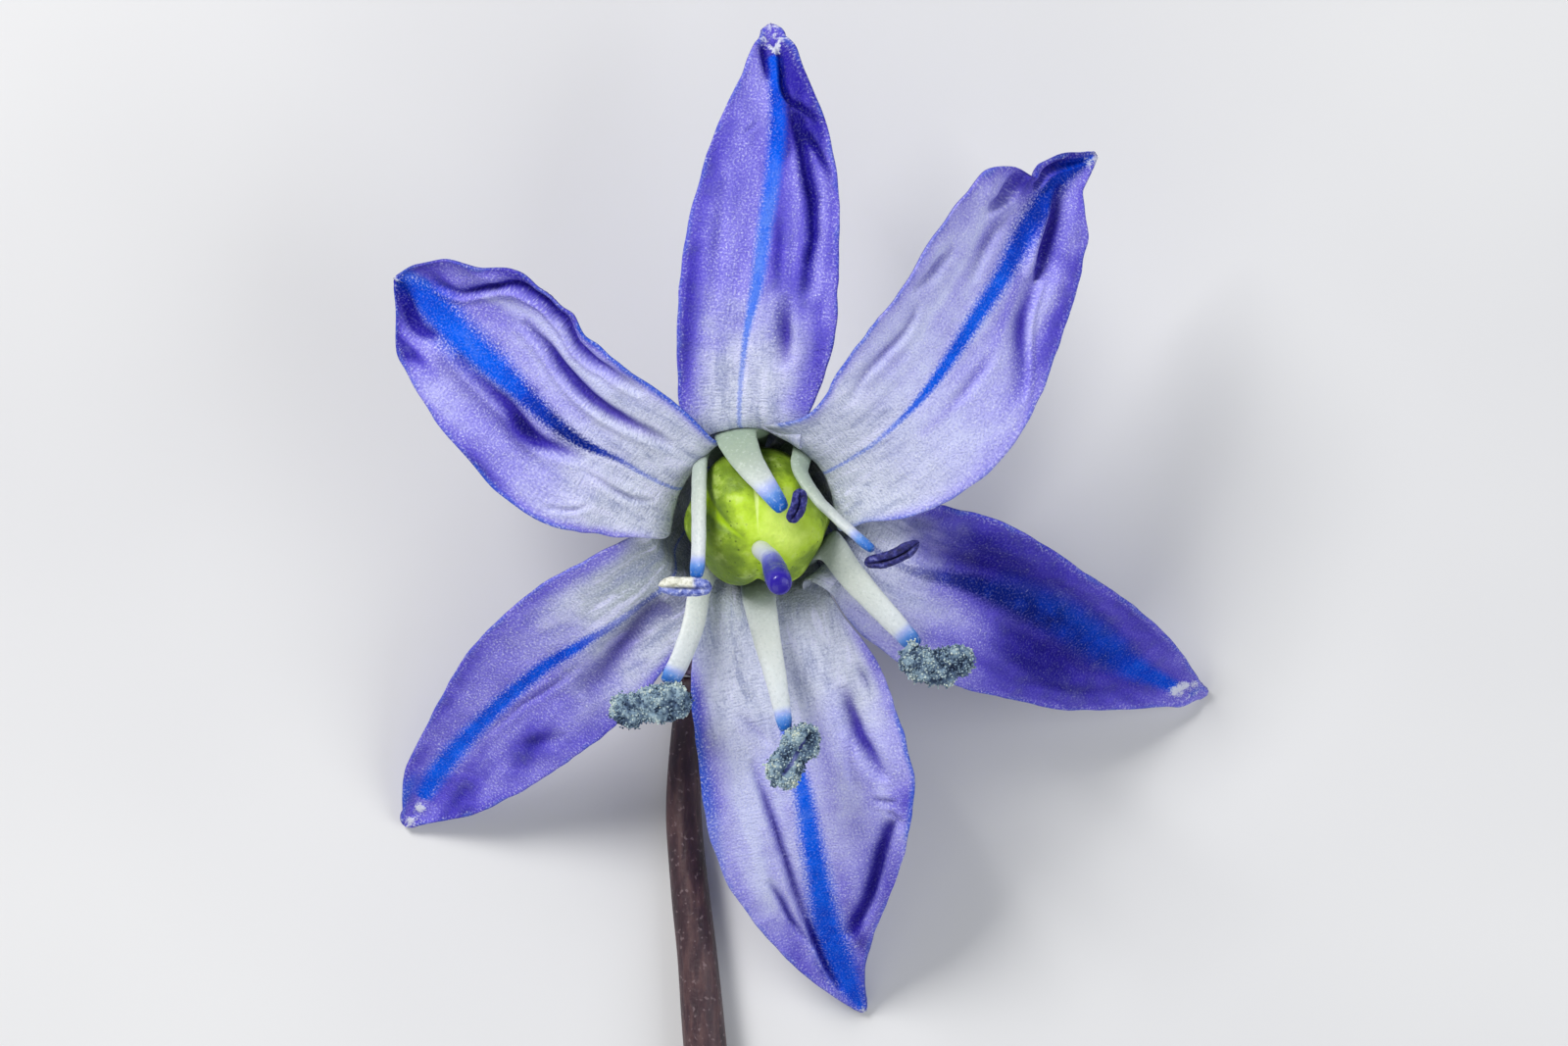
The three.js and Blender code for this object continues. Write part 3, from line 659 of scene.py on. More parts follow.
TEPALS["left_upper"] = Tepal(
    whorl="inner", bearing=152, tip_radius=0.2,
    midrib=[(-1.98, 0.1, 2.58), (-3.35, 0.76, 3.4), (-4.5, 1.35, 3.65), (-6.1, 2.7, 3.7), (-7.7, 4, 3.6),
        (-9.05, 5.1, 3.3), (-9.75, 5.55, 2.95)],
    left=[0.42, 1.2, 1.6, 2.3, 2.7, 2.9, 2.8, 2.6, 2.2, 1.5, 0.12],
    right=[0.42, 1.2, 1.35, 1.85, 2.15, 2.3, 2.35, 2.6, 2.5, 1.7, 0.12],
    curl=[30, 36, 30, 16, 14, 16, 18, 22, 30, 50, 75],
    drift=[0, -0.1, -0.25, -0.33, -0.27, -0.35, -0.35, -0.27, -0.2, 0, 0],
    stripe=[0.03, 0.03, 0.04, 0.05, 0.08, 0.2, 0.27, 0.4, 0.5, 0.5, 0.2],
    blue=[0.3, 0.3, 0.6, 1, 0.45, 0.4, 0.85],
    stripe_end=1, base=(0.3, 0.6), rim=(0.25, 0.25, 0.25),
    left_tone=[0.1, 0.15, 0.3, 0.42, 0.34, 0.85], right_tone=[0.05, 0.1, 0.15, 0.3, 0.48, 0.65],
    creases=[
        Crease([(91, 36), (86, 38), (83.6, 50), (80.6, 67), (76.9, 82), (69.2, 87), (60.5, 80), (55.9, 78),
            (50.8, 82), (40, 85)], (0.16, 0.08), 0.3, 1.15, (0.03, 0.14)),
        Crease([(72, 52), (64.2, 48), (59.5, 42), (55.2, 38), (50.2, 37), (44.5, 38), (39.1, 38), (30, 43)],
            (0.2, 0.12), 0.36, 1.25, (0.04, 0.14)),
        Crease([(79, -34), (68.9, -33), (63.5, -33), (56.5, -38), (52.8, -37), (48.8, -30), (44, -25)],
            (0.2, 0.12), 0.28, 1.1, (0.05, 0.1)),
        Crease([(45, -35), (37.5, -42), (31.8, -47), (26, -43)], 0.08, 0.1, 0.45),
        Crease([(46, -86), (42.1, -78), (39.5, -70)], 0.06, 0.07, 0.4),
        Crease([(99, -40), (94.6, -47), (91.3, -50), (88.3, -47), (84, -33)], 0.2, 0.3, 1.25, (0.06, 0)),
        Crease([(88, -46), (80.6, -30), (75, -30)], 0.14, 0.03, 0.3),
    ],
    lines={
        "tone": [([(80, 55), (70, 66), (60, 60), (50, 58), (40, 60)], 0.18, -0.3),
            ([(72, 35), (60, 25), (45, 22)], 0.14, -0.15)],
        "shade": [([(80, -50), (72, -50), (62, -50), (54, -52)], 0.35, 0.55)],
        "azure": [([(62, 100), (45, 100), (30, 100), (20, 100)], 0.14, 0.9),
            ([(60, -100), (50, -100), (42, -100)], 0.14, 0.6)],
    },
    spots={
        "lift": [(82, 80, 1.4, 0.25, 0.1), (60, 62, 2.4, 0.18, 0.07), (55, -65, 2.2, 0.5, 0.08)],
        "shade": [(58, -40, 0.5, 0.25, 0.6)],
        "azure": [(96, 50, 0.45, 0.35, 0.8), (92.6, 30, 0.14, 0.14, 1)],
        "tone": [(90, 50, 0.5, 0.3, 0.35), (60, -95, 1, 0.35, 0.4), (90, -97, 1.2, 0.18, 0.7),
            (70, 93, 2.6, 0.2, 0.35)],
        "tuft": [(99.5, 10, 0.16, 0.16, 0.9)],
    },
    scallops=[(1, 17, 0.6, 0.3), (1, 90, 0.4, 0.2), (1, 85, 0.3, -0.12), (1, 78, 0.6, 0.1),
        (1, 64.5, 0.3, 0.12), (1, 60, 0.25, -0.1), (-1, 89, 0.4, 0.1)],
)
# The tepals' colours, and for a ramp the value at which each one is reached.
TONES = [(0.0, 206, 210, 250), (0.25, 175, 173, 240), (0.5, 132, 124, 226), (0.75, 92, 80, 204)]
TONES += [(1.0, 46, 34, 160)]
BLUES = [(0.0, 104, 142, 232), (0.35, 0, 94, 234), (0.65, 0, 58, 192), (1.0, 0, 24, 118)]
FOOT_WHITE = colour(214, 219, 238)
FOOT_GREY = colour(138, 148, 184)
CLAW_GREY = colour(168, 178, 180)
AZURE = colour(10, 84, 210)
# Colours of the painted shade in the creases and in the deepest of them.
NAVY_SHADE = colour(12, 10, 100)
CREASE_SHADE = colour(106, 90, 184)
BACK_BLUE = colour(58, 62, 184)
TUFT_WHITE = colour(222, 226, 238)
# Painted highlights: the glitter and glints off the cells' tops; and the painted shade of the pits between
# them.
GLITTER_HIGHLIGHT = colour(228, 230, 255)
PIT_SHADE = colour(150, 150, 214)
GLINT = colour(244, 246, 255)

TEPAL_LONG = 224  # points along a tepal
TEPAL_WIDE = 96  # and across it
CROWDING = 0.7  # how far those across crowd towards the margins, as a share
SIDES_MEET = 0.4  # how far out from the midrib the tones of the two sides mix, as a share
EDGE_ROUNDING = 0.06  # how far in from the margin the tepal's edge is rounded off
CLAW_OVERLAP = 0.4  # how far the claws reach behind their neighbours
LEAST_HALF = 0.05  # half width at the very tip
WAVES = (0.02, 0.8)  # height, as a share of the half width, and size of the outline's waves
LIP_PLACE = 2.2  # of a crease's ridges, in its widths
LIP_WIDTH = 1.2
DARK_WIDTH = 1.1  # of the painted shade in a crease, in its widths
BUMPS = [(0.03, 1.1), (0.01, 0.35)]  # heights and sizes of a tepal's unevenness
RIDGE_HEIGHT = 0.02  # of the fine ridges along it
RIDGE_WIDTH = 0.38
RIDGE_SQUEEZE = 0.16  # their width as a share of their length
RIDGE_PALENESS = 0.16
TUFT_HEIGHT = 0.06
TUFT_START = 0.1  # how strong the tuft is where its knobs start
KNOB_STRENGTH = 0.5
KNOB_SIZE = 0.16
RIM_WIDTH = 0.16  # of the blue margins
RIM_START = (0.2, 0.31)  # shares of a tepal's length over which they set in
RIM_COVER = 1.2  # how well a margin's own tone covers the white foot
FOOT_WAVES = (0.05, 0.9)  # height, as a share of a tepal's length, and size where the foot ends
CLAW_END = (0.12, 0.3)  # over which the claw's grey ends
CLAW_NARROWS = (0.11, 0.24)  # over which the claw stops overlapping
STRIPE_START = (0.3, 0.45)  # over which the stripe reaches its full strength
FAINT_STRIPE = 0.55  # its strength below that
STRIPE_TAPER = 0.01  # the share of a tepal's length over which the stripe ends
OFF_STRIPE = 3  # half widths that are well outside it
BACK_GRAIN = 20  # keeps the back's grain from being the front's


def half_width(tepal, t, s):
    return np.where(s < 0, profile(tepal.left, t), profile(tepal.right, t))


def trace(flat, route):
    """How far each point lies to the right of a route, and how far along it, as a share."""
    dense = smooth_curve(route, 12)
    gap = flat[..., None, :] - dense
    distance = np.linalg.norm(gap, axis=-1)
    nearest = distance.argmin(-1)
    heading = unit(np.gradient(dense, axis=0))[nearest]
    near = np.take_along_axis(gap, nearest[..., None, None], axis=-2)[..., 0, :]
    right = np.sign(near[..., 0] * heading[..., 1] - near[..., 1] * heading[..., 0])
    return right * distance.min(-1), nearest / (len(dense) - 1)


class Sheet:
    """A tepal laid out flat, with its height and the fields painted on it."""

    def __init__(self, tepal, seed):
        self.tepal = tepal
        self.seed = seed
        self.path = rooted_path(BELL[tepal.whorl], tepal.bearing, tepal.midrib)
        even = np.linspace(-1, 1, TEPAL_WIDE)[None, :] + np.zeros((TEPAL_LONG, 1))
        self.s = even + CROWDING * (np.sin(np.pi / 2 * even) - even)
        self.t = np.linspace(0, 1, TEPAL_LONG)[:, None] + 0 * even
        self.half = half_width(tepal, self.t, self.s)
        self.flat = np.stack([self.s * self.half, self.t * self.path.length], -1)
        self.fields = {name: 0 * even for name in ("lift", "shade", "azure", "tuft", "claw")}
        left = profile(tepal.left_tone, self.t)
        right = profile(tepal.right_tone, self.t)
        self.fields["tone"] = left + (right - left) * smooth_step(self.s, -SIDES_MEET, SIDES_MEET)

    def rough(self, size, seed, squeeze=1.0):
        return rough(self.flat * (1, squeeze), size, self.seed + seed)

    def on_flat(self, t, s):
        t, s = t / 100, s / 100
        return (float(s * half_width(self.tepal, t, s)), t * self.path.length)

    def trace(self, places):
        return trace(self.flat, [self.on_flat(*place) for place in places])

    def paint(self):
        self.add_creases()
        self.add_spots_and_lines()
        self.add_grain()
        self.add_margins()
        self.add_stripe()

    def add_creases(self):
        for crease in self.tepal.creases:
            right, along = self.trace(crease.route)
            ends = np.clip(np.sin(np.pi * along), 0, 1) ** 0.5
            widths = np.broadcast_to(crease.width, 2)
            valley = np.where(right < 0, *widths)
            self.fields["lift"] -= crease.depth * ends * bell_curve(right, valley)
            # Painted shade along the crease's bottom.
            self.fields["shade"] += crease.dark * ends * bell_curve(right, DARK_WIDTH * valley)
            for side, width, lip in zip((-1, 1), widths, crease.lips):
                ridge = bell_curve(right - side * LIP_PLACE * width, LIP_WIDTH * width)
                self.fields["lift"] += lip * ends * ridge

    def add_spots_and_lines(self):
        for field, spots in self.tepal.spots.items():
            for t, s, long, wide, amount in spots:
                x, y = self.on_flat(t, s)
                across = bell_curve(self.flat[..., 0] - x, wide)
                self.fields[field] += amount * across * bell_curve(self.flat[..., 1] - y, long)
        for field, lines in self.tepal.lines.items():
            for places, width, amount in lines:
                distance, _ = self.trace(places)
                self.fields[field] += amount * bell_curve(distance, width)

    def add_grain(self):
        """Unevenness, fine ridges along the tepal, and the tuft's knobs."""
        ridges = self.rough(RIDGE_WIDTH, 21, RIDGE_SQUEEZE)
        self.fields["tone"] -= RIDGE_PALENESS * ridges
        knobs = KNOB_STRENGTH * self.rough(KNOB_SIZE, 3)
        self.fields["tuft"] += knobs * (self.fields["tuft"] > TUFT_START)
        self.fields["lift"] += sum(height * self.rough(size, 0) for height, size in BUMPS)
        self.fields["lift"] += RIDGE_HEIGHT * ridges + TUFT_HEIGHT * np.clip(self.fields["tuft"], 0, 1)

    def add_margins(self):
        """The margins' own tone, and the white foot with its grey claw."""
        inside = self.half * (1 - np.abs(self.s))
        left, right, deeper = self.tepal.rim
        rim = bell_curve(inside, np.where(self.s < 0, left, right))
        beyond_claw = smooth_step(self.t, *RIM_START)
        self.fields["tone"] += deeper * rim
        self.fields["rim"] = bell_curve(inside, RIM_WIDTH) * beyond_claw
        height, size = FOOT_WAVES
        pale = 1 - smooth_step(self.t + height * self.rough(size, 7), *self.tepal.base)
        self.fields["pale"] = pale * (1 - np.clip(RIM_COVER * rim * beyond_claw, 0, 1))
        self.fields["claw"] += 1 - smooth_step(self.t, *CLAW_END)

    def add_stripe(self):
        end = self.tepal.stripe_end
        middle = profile(self.tepal.drift, self.t)
        rib = np.abs(self.flat[..., 0] - middle) / profile(self.tepal.stripe, self.t)
        self.fields["rib"] = rib + OFF_STRIPE * smooth_step(self.t, end - STRIPE_TAPER, end)
        self.fields["blue"] = profile(self.tepal.blue, self.t)
        self.fields["strong"] = FAINT_STRIPE + (1 - FAINT_STRIPE) * smooth_step(self.t, *STRIPE_START)

    def outline(self):
        """The half width with its scallops and its rounded tip."""
        out = CLAW_OVERLAP * (1 - smooth_step(self.t, *CLAW_NARROWS))
        for side, at, long, far in self.tepal.scallops:
            near = bell_curve((self.t - at / 100) * self.path.length, long)
            out += far * near * (np.sign(self.s) == side)
        radius = self.tepal.tip_radius
        from_tip = np.clip((1 - self.t) * self.path.length, 0, radius)
        cap = np.sqrt(radius**2 - (radius - from_tip) ** 2)
        height, size = WAVES
        wavy = 1 + height * self.rough(size, 5)
        return np.maximum(self.half * wavy + out * np.abs(self.s) ** 3, np.maximum(cap, LEAST_HALF))

    def shape(self):
        s = self.s
        point, across, front = (each[:, None] for each in self.path.at(self.t[:, 0]))
        half = self.outline()
        angle = np.maximum(np.radians(profile(self.tepal.curl, self.t)) * np.abs(s), 1e-4)
        reach = half * np.abs(s)
        sideways = (np.sign(s) * reach * np.sin(angle) / angle)[..., None]
        forward = (reach * (1 - np.cos(angle)) / angle)[..., None]
        normal = front * np.cos(angle)[..., None] - across * (np.sign(s) * np.sin(angle))[..., None]
        middle = point + across * sideways + front * forward + normal * self.fields["lift"][..., None]
        edge = np.clip(half * (1 - np.abs(s)) / EDGE_ROUNDING, 0, 1)
        full = TEPAL_THICKNESS + (TEPAL_EDGE - TEPAL_THICKNESS) * s**2
        thick = (full * np.maximum(np.sqrt(1 - (1 - edge) ** 2), 0.2))[..., None]
        fronts = middle + normal * thick / 2
        backs = middle - normal * thick / 2
        return loft(np.concatenate([fronts, backs[:, ::-1]], 1), **self.both_faces())

    def both_faces(self):
        """The painted fields for the front and the back, for the material."""
        fields = {k: v for k, v in self.fields.items() if k != "lift"}
        both = {k: np.concatenate([v, v[:, ::-1]], 1) for k, v in fields.items()}
        both["face"] = np.concatenate([1 + 0 * self.t, 0 * self.t], 1)
        grain = np.dstack([self.flat, self.seed + 0 * self.t])
        both["flat"] = np.concatenate([grain, grain[:, ::-1] + [0, 0, BACK_GRAIN]], 1)
        return both


def tepal_material():
    n = Nodes("squill_tepal")
    flat = n.vector("flat")
    cells = n.noise(flat, 17, 2.0, 0.6)
    streaks = n.noise(n.stretch(flat, (2.0, 0.45, 1)), 1.5, 3.0, 0.6)
    ribs = n.noise(n.stretch(flat, (0.4, 1.9, 1)), 8, 1.5)
    mottle = n.noise(flat, 1.7, 3.0, 0.6)
    cloud = n.centred(mottle)
    grain = n.centred(cells)
    rim = n.number("rim")
    shade = n.number("shade")

    # Lavender to violet in soft clouds, and the blue of the margins and the back.
    tone = n.plus(n.number("tone"), cloud, 0.45, clamp=True)
    blade = n.tint(n.ramp(tone, TONES), AZURE, n.plus(rim, cloud, 2.4), 0.55, 1.3, 0.4)
    blade = n.tint(blade, BACK_BLUE, n.number("face"), 0.6, 0.4, 0.7)

    # The white foot with fine ribs across, grey at the claw, under dark streaks and silvery streaks of
    # painted sheen.
    foot = n.tint(FOOT_WHITE, FOOT_GREY, ribs, 0.54, 0.34, 0.35)
    foot = n.tint(foot, CLAW_GREY, n.number("claw"), 0.0, 1.0, 0.9)
    foot = n.tint(foot, FOOT_GREY, streaks, 0.52, 0.34, 0.6)
    foot = n.tint(foot, GLITTER_HIGHLIGHT, streaks, 0.52, 0.68, 0.85)
    shown = n.tint(blade, foot, n.plus(n.number("pale"), cloud, 0.6), -0.1, 1.1)

    # The blue stripe along the midrib, faint at the foot, with a grainy edge.
    stripe = n.times(n.step(n.plus(n.number("rib"), grain, 1.6), 1.8, 0.4), n.number("strong"))
    shown = n.mix(stripe, shown, n.ramp(n.plus(n.number("blue"), cloud, 0.6), BLUES))
    shown = n.tint(shown, AZURE, n.number("azure"), 0.1, 0.9, 0.85)

    # Painted shade: indigo in the creases and shade spots, navy in the deepest.
    shown = n.tint(shown, CREASE_SHADE, shade, 0.03, 1.0, blend="MULTIPLY")
    shown = n.tint(shown, NAVY_SHADE, shade, 0.9, 1.7, 0.85)

    # Painted shade in the pits between the cells, and painted glitter and glints of light on the cells'
    # tops, fewer where it is deep.
    shown = n.tint(shown, PIT_SHADE, cells, 0.5, 0.34, 0.3, "MULTIPLY")
    bare = n.math("MAXIMUM", n.step(tone, 0.45, 0.9), n.step(stripe, 0.3, 1.0, 0.0, 0.85))
    bare = n.math("MAXIMUM", bare, n.step(shade, 0.1, 1.0, 0.0, 0.95))
    bare = n.times(bare, n.step(rim, 0.1, 0.5, 1.0, 0.5))
    glitter_highlight = n.times(n.step(cells, 0.48, 0.74, 0.0, 0.6), n.step(bare, 0.0, 1.0, 1.0, 0.12))
    shown = n.mix(glitter_highlight, shown, GLITTER_HIGHLIGHT)
    glints = n.times(n.step(n.cells(flat, 5.5), 0.15, 0.07, 0.0, 0.5), n.step(bare, 0.2, 0.9, 1.0, 0.14))
    shown = n.mix(glints, shown, GLINT)

    # The white tuft at the tip, with a ragged edge.
    tuft = n.plus(n.plus(n.number("tuft"), grain, 1.6), cloud, 0.8)
    shown = n.tint(shown, TUFT_WHITE, tuft, 0.28, 0.9, 0.85)
    return n.finish(
        Base_Color=shown,
        Roughness=n.step(cells, 0.35, 0.7, 0.6, 0.36),
        Normal=n.bump(n.plus(cells, ribs, 0.6), 0.05, 0.8, n.bump(mottle, 0.12, 0.5)),
        Specular_IOR_Level=n.step(bare, 0.2, 1.0, 0.25, 0.04),
    )


def add_tepals():
    material = tepal_material()
    for index, (place, tepal) in enumerate(TEPALS.items()):
        sheet = Sheet(tepal, 3.0 * index + 1)
        sheet.paint()
        add_piece(f"tepal_{tepal.whorl}_{place}", sheet.shape(), material)


# --- the stamens

STAMEN_FOOT = [(0.82, 0.2), (1.84, 0.93), (2.15, 1.6)]  # out from the axis, and along it
DUSTY_LUMPS = [(0.15, 0.4), (0.1, 0.2), (0.05, 0.09)]  # heights and sizes
SMOOTH_LUMPS = [(0.03, 0.26), (0.012, 0.1)]
POLLEN_GRAINS = 2300  # on each dusty anther
POLLEN_RADIUS = 0.03
POLLEN_SIZES = (0.6, 1.5)  # times that radius
POLLEN_STRAY = 0.03  # how far a grain lies from its place
POLLEN_SHADES = (-0.24, 0.3)  # how much darker or paler a grain is
ANTHER_FLATNESS = 0.7  # how deep an anther is for its width
WAIST_DEPTH = 0.16  # how far an anther is drawn in, and over what share of its length
WAIST_LENGTH = 0.07
GROOVE_PLACE = 0.75  # the share of the way round an anther, which is its front
GROOVE_WIDTH = 0.05
DUST_TONE = 0.32  # how pale the pollen is, and how much paler as painted light where it stands out, darker as painted shade in its hollows
LIT_LUMP_CONTRAST = 0.8
NOWHERE = 2  # a share that no place has


class Stamen(NamedTuple):
    """A filament from the receptacle, and an anther that lies across its tip."""

    bearing: float
    filament: list  # its points beyond the foot
    widths: tuple  # of the filament, near its foot and at its tip
    blue: float  # the length of its blue tip
    clear: float  # how clear it is
    at: tuple  # the anther's middle
    along: tuple  # and its direction
    size: tuple  # and its length and width
    kind: str
    bow: float = 0.0  # how far the anther bows
    groove: float = 0.12  # how deep its groove is
    pale: float = 0.0  # how much paler than the others' its pollen is
    waist: float = NOWHERE  # the share of its length at which it is drawn in


STAMENS = {}

STAMENS["top"] = Stamen(
    bearing=98,
    filament=[(-0.5, 1.32, 2.95), (-0.2, 0.6, 3.9), (0.42, -0.25, 4.5), (0.8, -0.78, 4.66)],
    widths=(1.3, 0.42), blue=1, clear=1,
    at=(1.15, -0.66, 4.95), along=(0.3, 0.95, 0.25), size=(0.98, 0.42),
    kind="closed", bow=0.1,
)

STAMENS["right_upper"] = Stamen(
    bearing=54,
    filament=[(1.26, 0.25, 3.45), (1.75, -0.5, 3.95), (2.35, -1.1, 4.35), (3.2, -1.85, 4.8)],
    widths=(0.6, 0.35), blue=0.85, clear=0.75,
    at=(3.74, -1.98, 4.95), along=(0.95, 0.38, 0.1), size=(1.6, 0.46),
    kind="closed", bow=0.14,
)

STAMENS["right_lower"] = Stamen(
    bearing=-38,
    filament=[(2.05, -1.75, 1.75), (2.7, -2.6, 2.3), (3.6, -3.6, 2.6), (4.42, -4.5, 2.58)],
    widths=(0.95, 0.55), blue=0.75, clear=0.3,
    at=(4.95, -4.85, 3.15), along=(0.99, 0, 0.1), size=(1.9, 0.95),
    kind="dusty", bow=0.45, groove=0, pale=0.12,
)

STAMENS["bottom"] = Stamen(
    bearing=-88,
    filament=[(0.15, -3.3, 1.65), (0.35, -4.3, 2.2), (0.6, -5.4, 2.5), (0.86, -6.78, 2.62)],
    widths=(1, 0.4), blue=0.7, clear=0,
    at=(1.05, -7.45, 2.7), along=(-0.55, -0.85, 0), size=(1.9, 0.9),
    kind="dusty", pale=0.1,
)

STAMENS["left_lower"] = Stamen(
    bearing=-128,
    filament=[(-1.5, -2.9, 1.75), (-1.62, -3.7, 2.2), (-1.95, -4.7, 2.45), (-2.36, -5.52, 2.5)],
    widths=(0.75, 0.55), blue=0.6, clear=0,
    at=(-2.82, -6.1, 2.75), along=(0.96, 0.22, 0), size=(2.2, 1),
    kind="dusty", groove=0, pale=0.02, waist=0.36,
)

STAMENS["left_upper"] = Stamen(
    bearing=132,
    filament=[(-1.48, 0.4, 3.05), (-1.5, -0.7, 3.8), (-1.5, -1.8, 4.25), (-1.56, -2.6, 4.4)],
    widths=(0.5, 0.42), blue=0.65, clear=0.55,
    at=(-1.86, -2.84, 4.6), along=(1, -0.03, 0.05), size=(1.45, 0.55),
    kind="open",
)


def filament_shape(stamen):
    foot, tip = stamen.widths
    widths = np.array([0.5 * foot, foot, 0.8 * foot + 0.2 * tip, 0.4 * foot + 0.6 * tip, tip])
    thick = stations([FILAMENT_THICKNESS / 2] * 2)
    path = rooted_path(STAMEN_FOOT, stamen.bearing, stamen.filament)
    half_widths = stations(widths / 2)
    shape = stalk(path, half_widths, steps=90, sides=36, depth=thick, rounding=0.04, bumps=(0.012, 0.3))
    from_tip = (1 - shape.fields["share"]) * path.length
    shape.fields["blue"] = 1 - smooth_step(from_tip, 0.1 * stamen.blue, 1.2 * stamen.blue)
    shape.fields["clear"] = stamen.clear * (1 - smooth_step(shape.fields["share"], 0.5, 1.05))
    return shape


def filament_material():
    n = Nodes("squill_filament")
    place = n.place()
    cells = n.noise(place, 11, 2.0)
    clouds = n.centred(n.noise(place, 1.6, 2.0))
    # Whites darkening to grey at the foot: painted shade where it goes down into the throat.
    whites_with_foot_shade = [(0.0, 84, 94, 98), (0.3, 122, 136, 138), (0.45, 194, 202, 202), (0.65, 212, 217, 213)]
    whites_with_foot_shade += [(1.0, 206, 212, 219)]
    blues = [(0.0, 202, 208, 232), (0.4, 160, 174, 226), (0.7, 96, 144, 214), (1.0, 10, 98, 188)]
    blue = n.plus(n.number("blue"), clouds, 0.3)
    shown = n.ramp(n.plus(n.number("share"), clouds, 0.1), whites_with_foot_shade)
    shown = n.tint(shown, colour(136, 160, 128), n.number("clear"), 0.0, 1.0, 0.75)
    shown = n.tint(shown, n.ramp(blue, blues), blue, 0.02, 0.4)
    # Painted sparkle highlights on the cells' tops, and darker specks between them.
    shown = n.tint(shown, colour(240, 244, 246), cells, 0.56, 0.72, 0.25)
    shown = n.tint(shown, colour(140, 156, 160), cells, 0.45, 0.3, 0.2)
    return n.finish(
        Base_Color=shown,
        Roughness=0.42,
        Normal=n.bump(cells, 0.04, 0.5),
        Specular_IOR_Level=0.3,
        Subsurface_Weight=0.4,
        Subsurface_Radius=(0.9, 1.0, 1.0),
        Subsurface_Scale=0.25 * MM,
    )


def anther_path(stamen):
    centre = np.array(stamen.at)
    ahead = unit(np.array(stamen.along))
    reach = ahead * stamen.size[0] / 2
    bow = np.cross(AXIS, ahead) * stamen.bow / 2
    return Path([centre - reach + bow, centre - bow, centre + reach + bow], np.cross(ahead, AXIS))


def anther_body(stamen, lumps):
    """A rounded bar with a groove along its front. lumps are (height, size) pairs."""
    width = stamen.size[1]
    path = anther_path(stamen)

    def half(t):
        waist = 1 - WAIST_DEPTH * bell_curve(t - stamen.waist, WAIST_LENGTH)
        return width / 2 * waist * np.sqrt(np.maximum(1 - (2 * t - 1) ** 4, 0.04))

    def depth(t):
        return ANTHER_FLATNESS * half(t)

    shape = stalk(path, half, steps=110, sides=90, depth=depth, rounding=0.04)
    share = shape.fields["share"]
    outward = unit(shape.points - path.point(share))
    front = bell_curve(shape.fields["around"] - GROOVE_PLACE, GROOVE_WIDTH)
    front = front * np.clip(np.sin(np.pi * share), 0, 1) ** 0.5
    height = sum(high * rough(shape.points, size) for high, size in lumps)
    shape.points = shape.points + outward * (height - stamen.groove * front)[:, None]
    shape.fields["front"] = front * (stamen.groove > 0)
    # The pollen's tone, with painted light on the lumps and painted shade in the hollows.
    shape.fields["dust_and_light"] = DUST_TONE + LIT_LUMP_CONTRAST * height / sum(high for high, _ in lumps)
    return shape


def with_grains(body, pale, seed):
    """The body with grains of pollen all over it, painted paler where it stands out, as light falls on it.
    """
    rng = np.random.default_rng(seed)
    points, faces = grain_shape()
    chosen = rng.choice(len(body.points) - 2, POLLEN_GRAINS, replace=False)
    chosen = chosen[body.fields["front"][chosen] < 0.6]
    offset = len(body.points) + len(points) * np.arange(len(chosen))
    size = POLLEN_RADIUS * rng.uniform(*POLLEN_SIZES, (len(chosen), 1, 3))
    middle = body.points[chosen] + rng.normal(0, POLLEN_STRAY, (len(chosen), 3))
    grains = (middle[:, None] + points * size).reshape(-1, 3)
    grain_faces = (offset[:, None, None] + faces).reshape(-1, 3).tolist()
    dust_and_light = body.fields["dust_and_light"][chosen] + pale + rng.uniform(*POLLEN_SHADES, len(chosen))
    fields = {name: np.concatenate([v, np.zeros(len(grains))]) for name, v in body.fields.items()}
    fields["dust_and_light"][len(body.points) :] = np.repeat(dust_and_light, len(points))
    return Shape(np.vstack([body.points, grains]), body.faces + grain_faces, fields)


def grain_shape():
    """The points and faces of a small round grain."""
    ball = bmesh.new()
    bmesh.ops.create_icosphere(ball, subdivisions=1, radius=1)
    points = np.array([v.co for v in ball.verts])
    faces = np.array([[v.index for v in f.verts] for f in ball.faces])
    ball.free()
    return points, faces


def closed_anther_material():
    n = Nodes("squill_anther_closed")
    wrinkles = n.noise(n.place(), 7, 3.0, 0.6)
    # Lighter on the wrinkles' ridges as painted highlights, and darker in the groove along the front.
    stops = [(0.3, 18, 18, 70), (0.5, 36, 36, 108), (0.62, 64, 66, 142), (0.78, 128, 132, 188)]
    shown = n.tint(n.ramp(wrinkles, stops), colour(10, 8, 46), n.number("front"), 0.2, 0.9, 0.85)
    relief = n.bump(wrinkles, 0.09, 0.9)
    return n.finish(Base_Color=shown, Roughness=0.45, Normal=relief, Specular_IOR_Level=0.3)


def open_anther_material():
    """Split open: the upper valve shows its cream inside, the lower its lilac back."""
    n = Nodes("squill_anther_open")
    wrinkles = n.noise(n.place(), 8, 3.0, 0.6)
    creams = [(0.3, 170, 170, 150), (0.5, 222, 222, 206), (0.7, 244, 244, 236)]
    lilacs = [(0.32, 52, 70, 160), (0.5, 118, 132, 206), (0.68, 204, 210, 240)]
    cream = n.times(n.step(n.number("around"), 0.78, 0.73), n.step(n.number("share"), 0.72, 0.6))
    shown = n.mix(cream, n.ramp(wrinkles, lilacs), n.ramp(wrinkles, creams))
    shown = n.tint(shown, colour(60, 70, 130), n.number("front"), 0.3, 0.9, 0.6)
    return n.finish(Base_Color=shown, Roughness=0.5, Normal=n.bump(wrinkles, 0.08, 0.8))


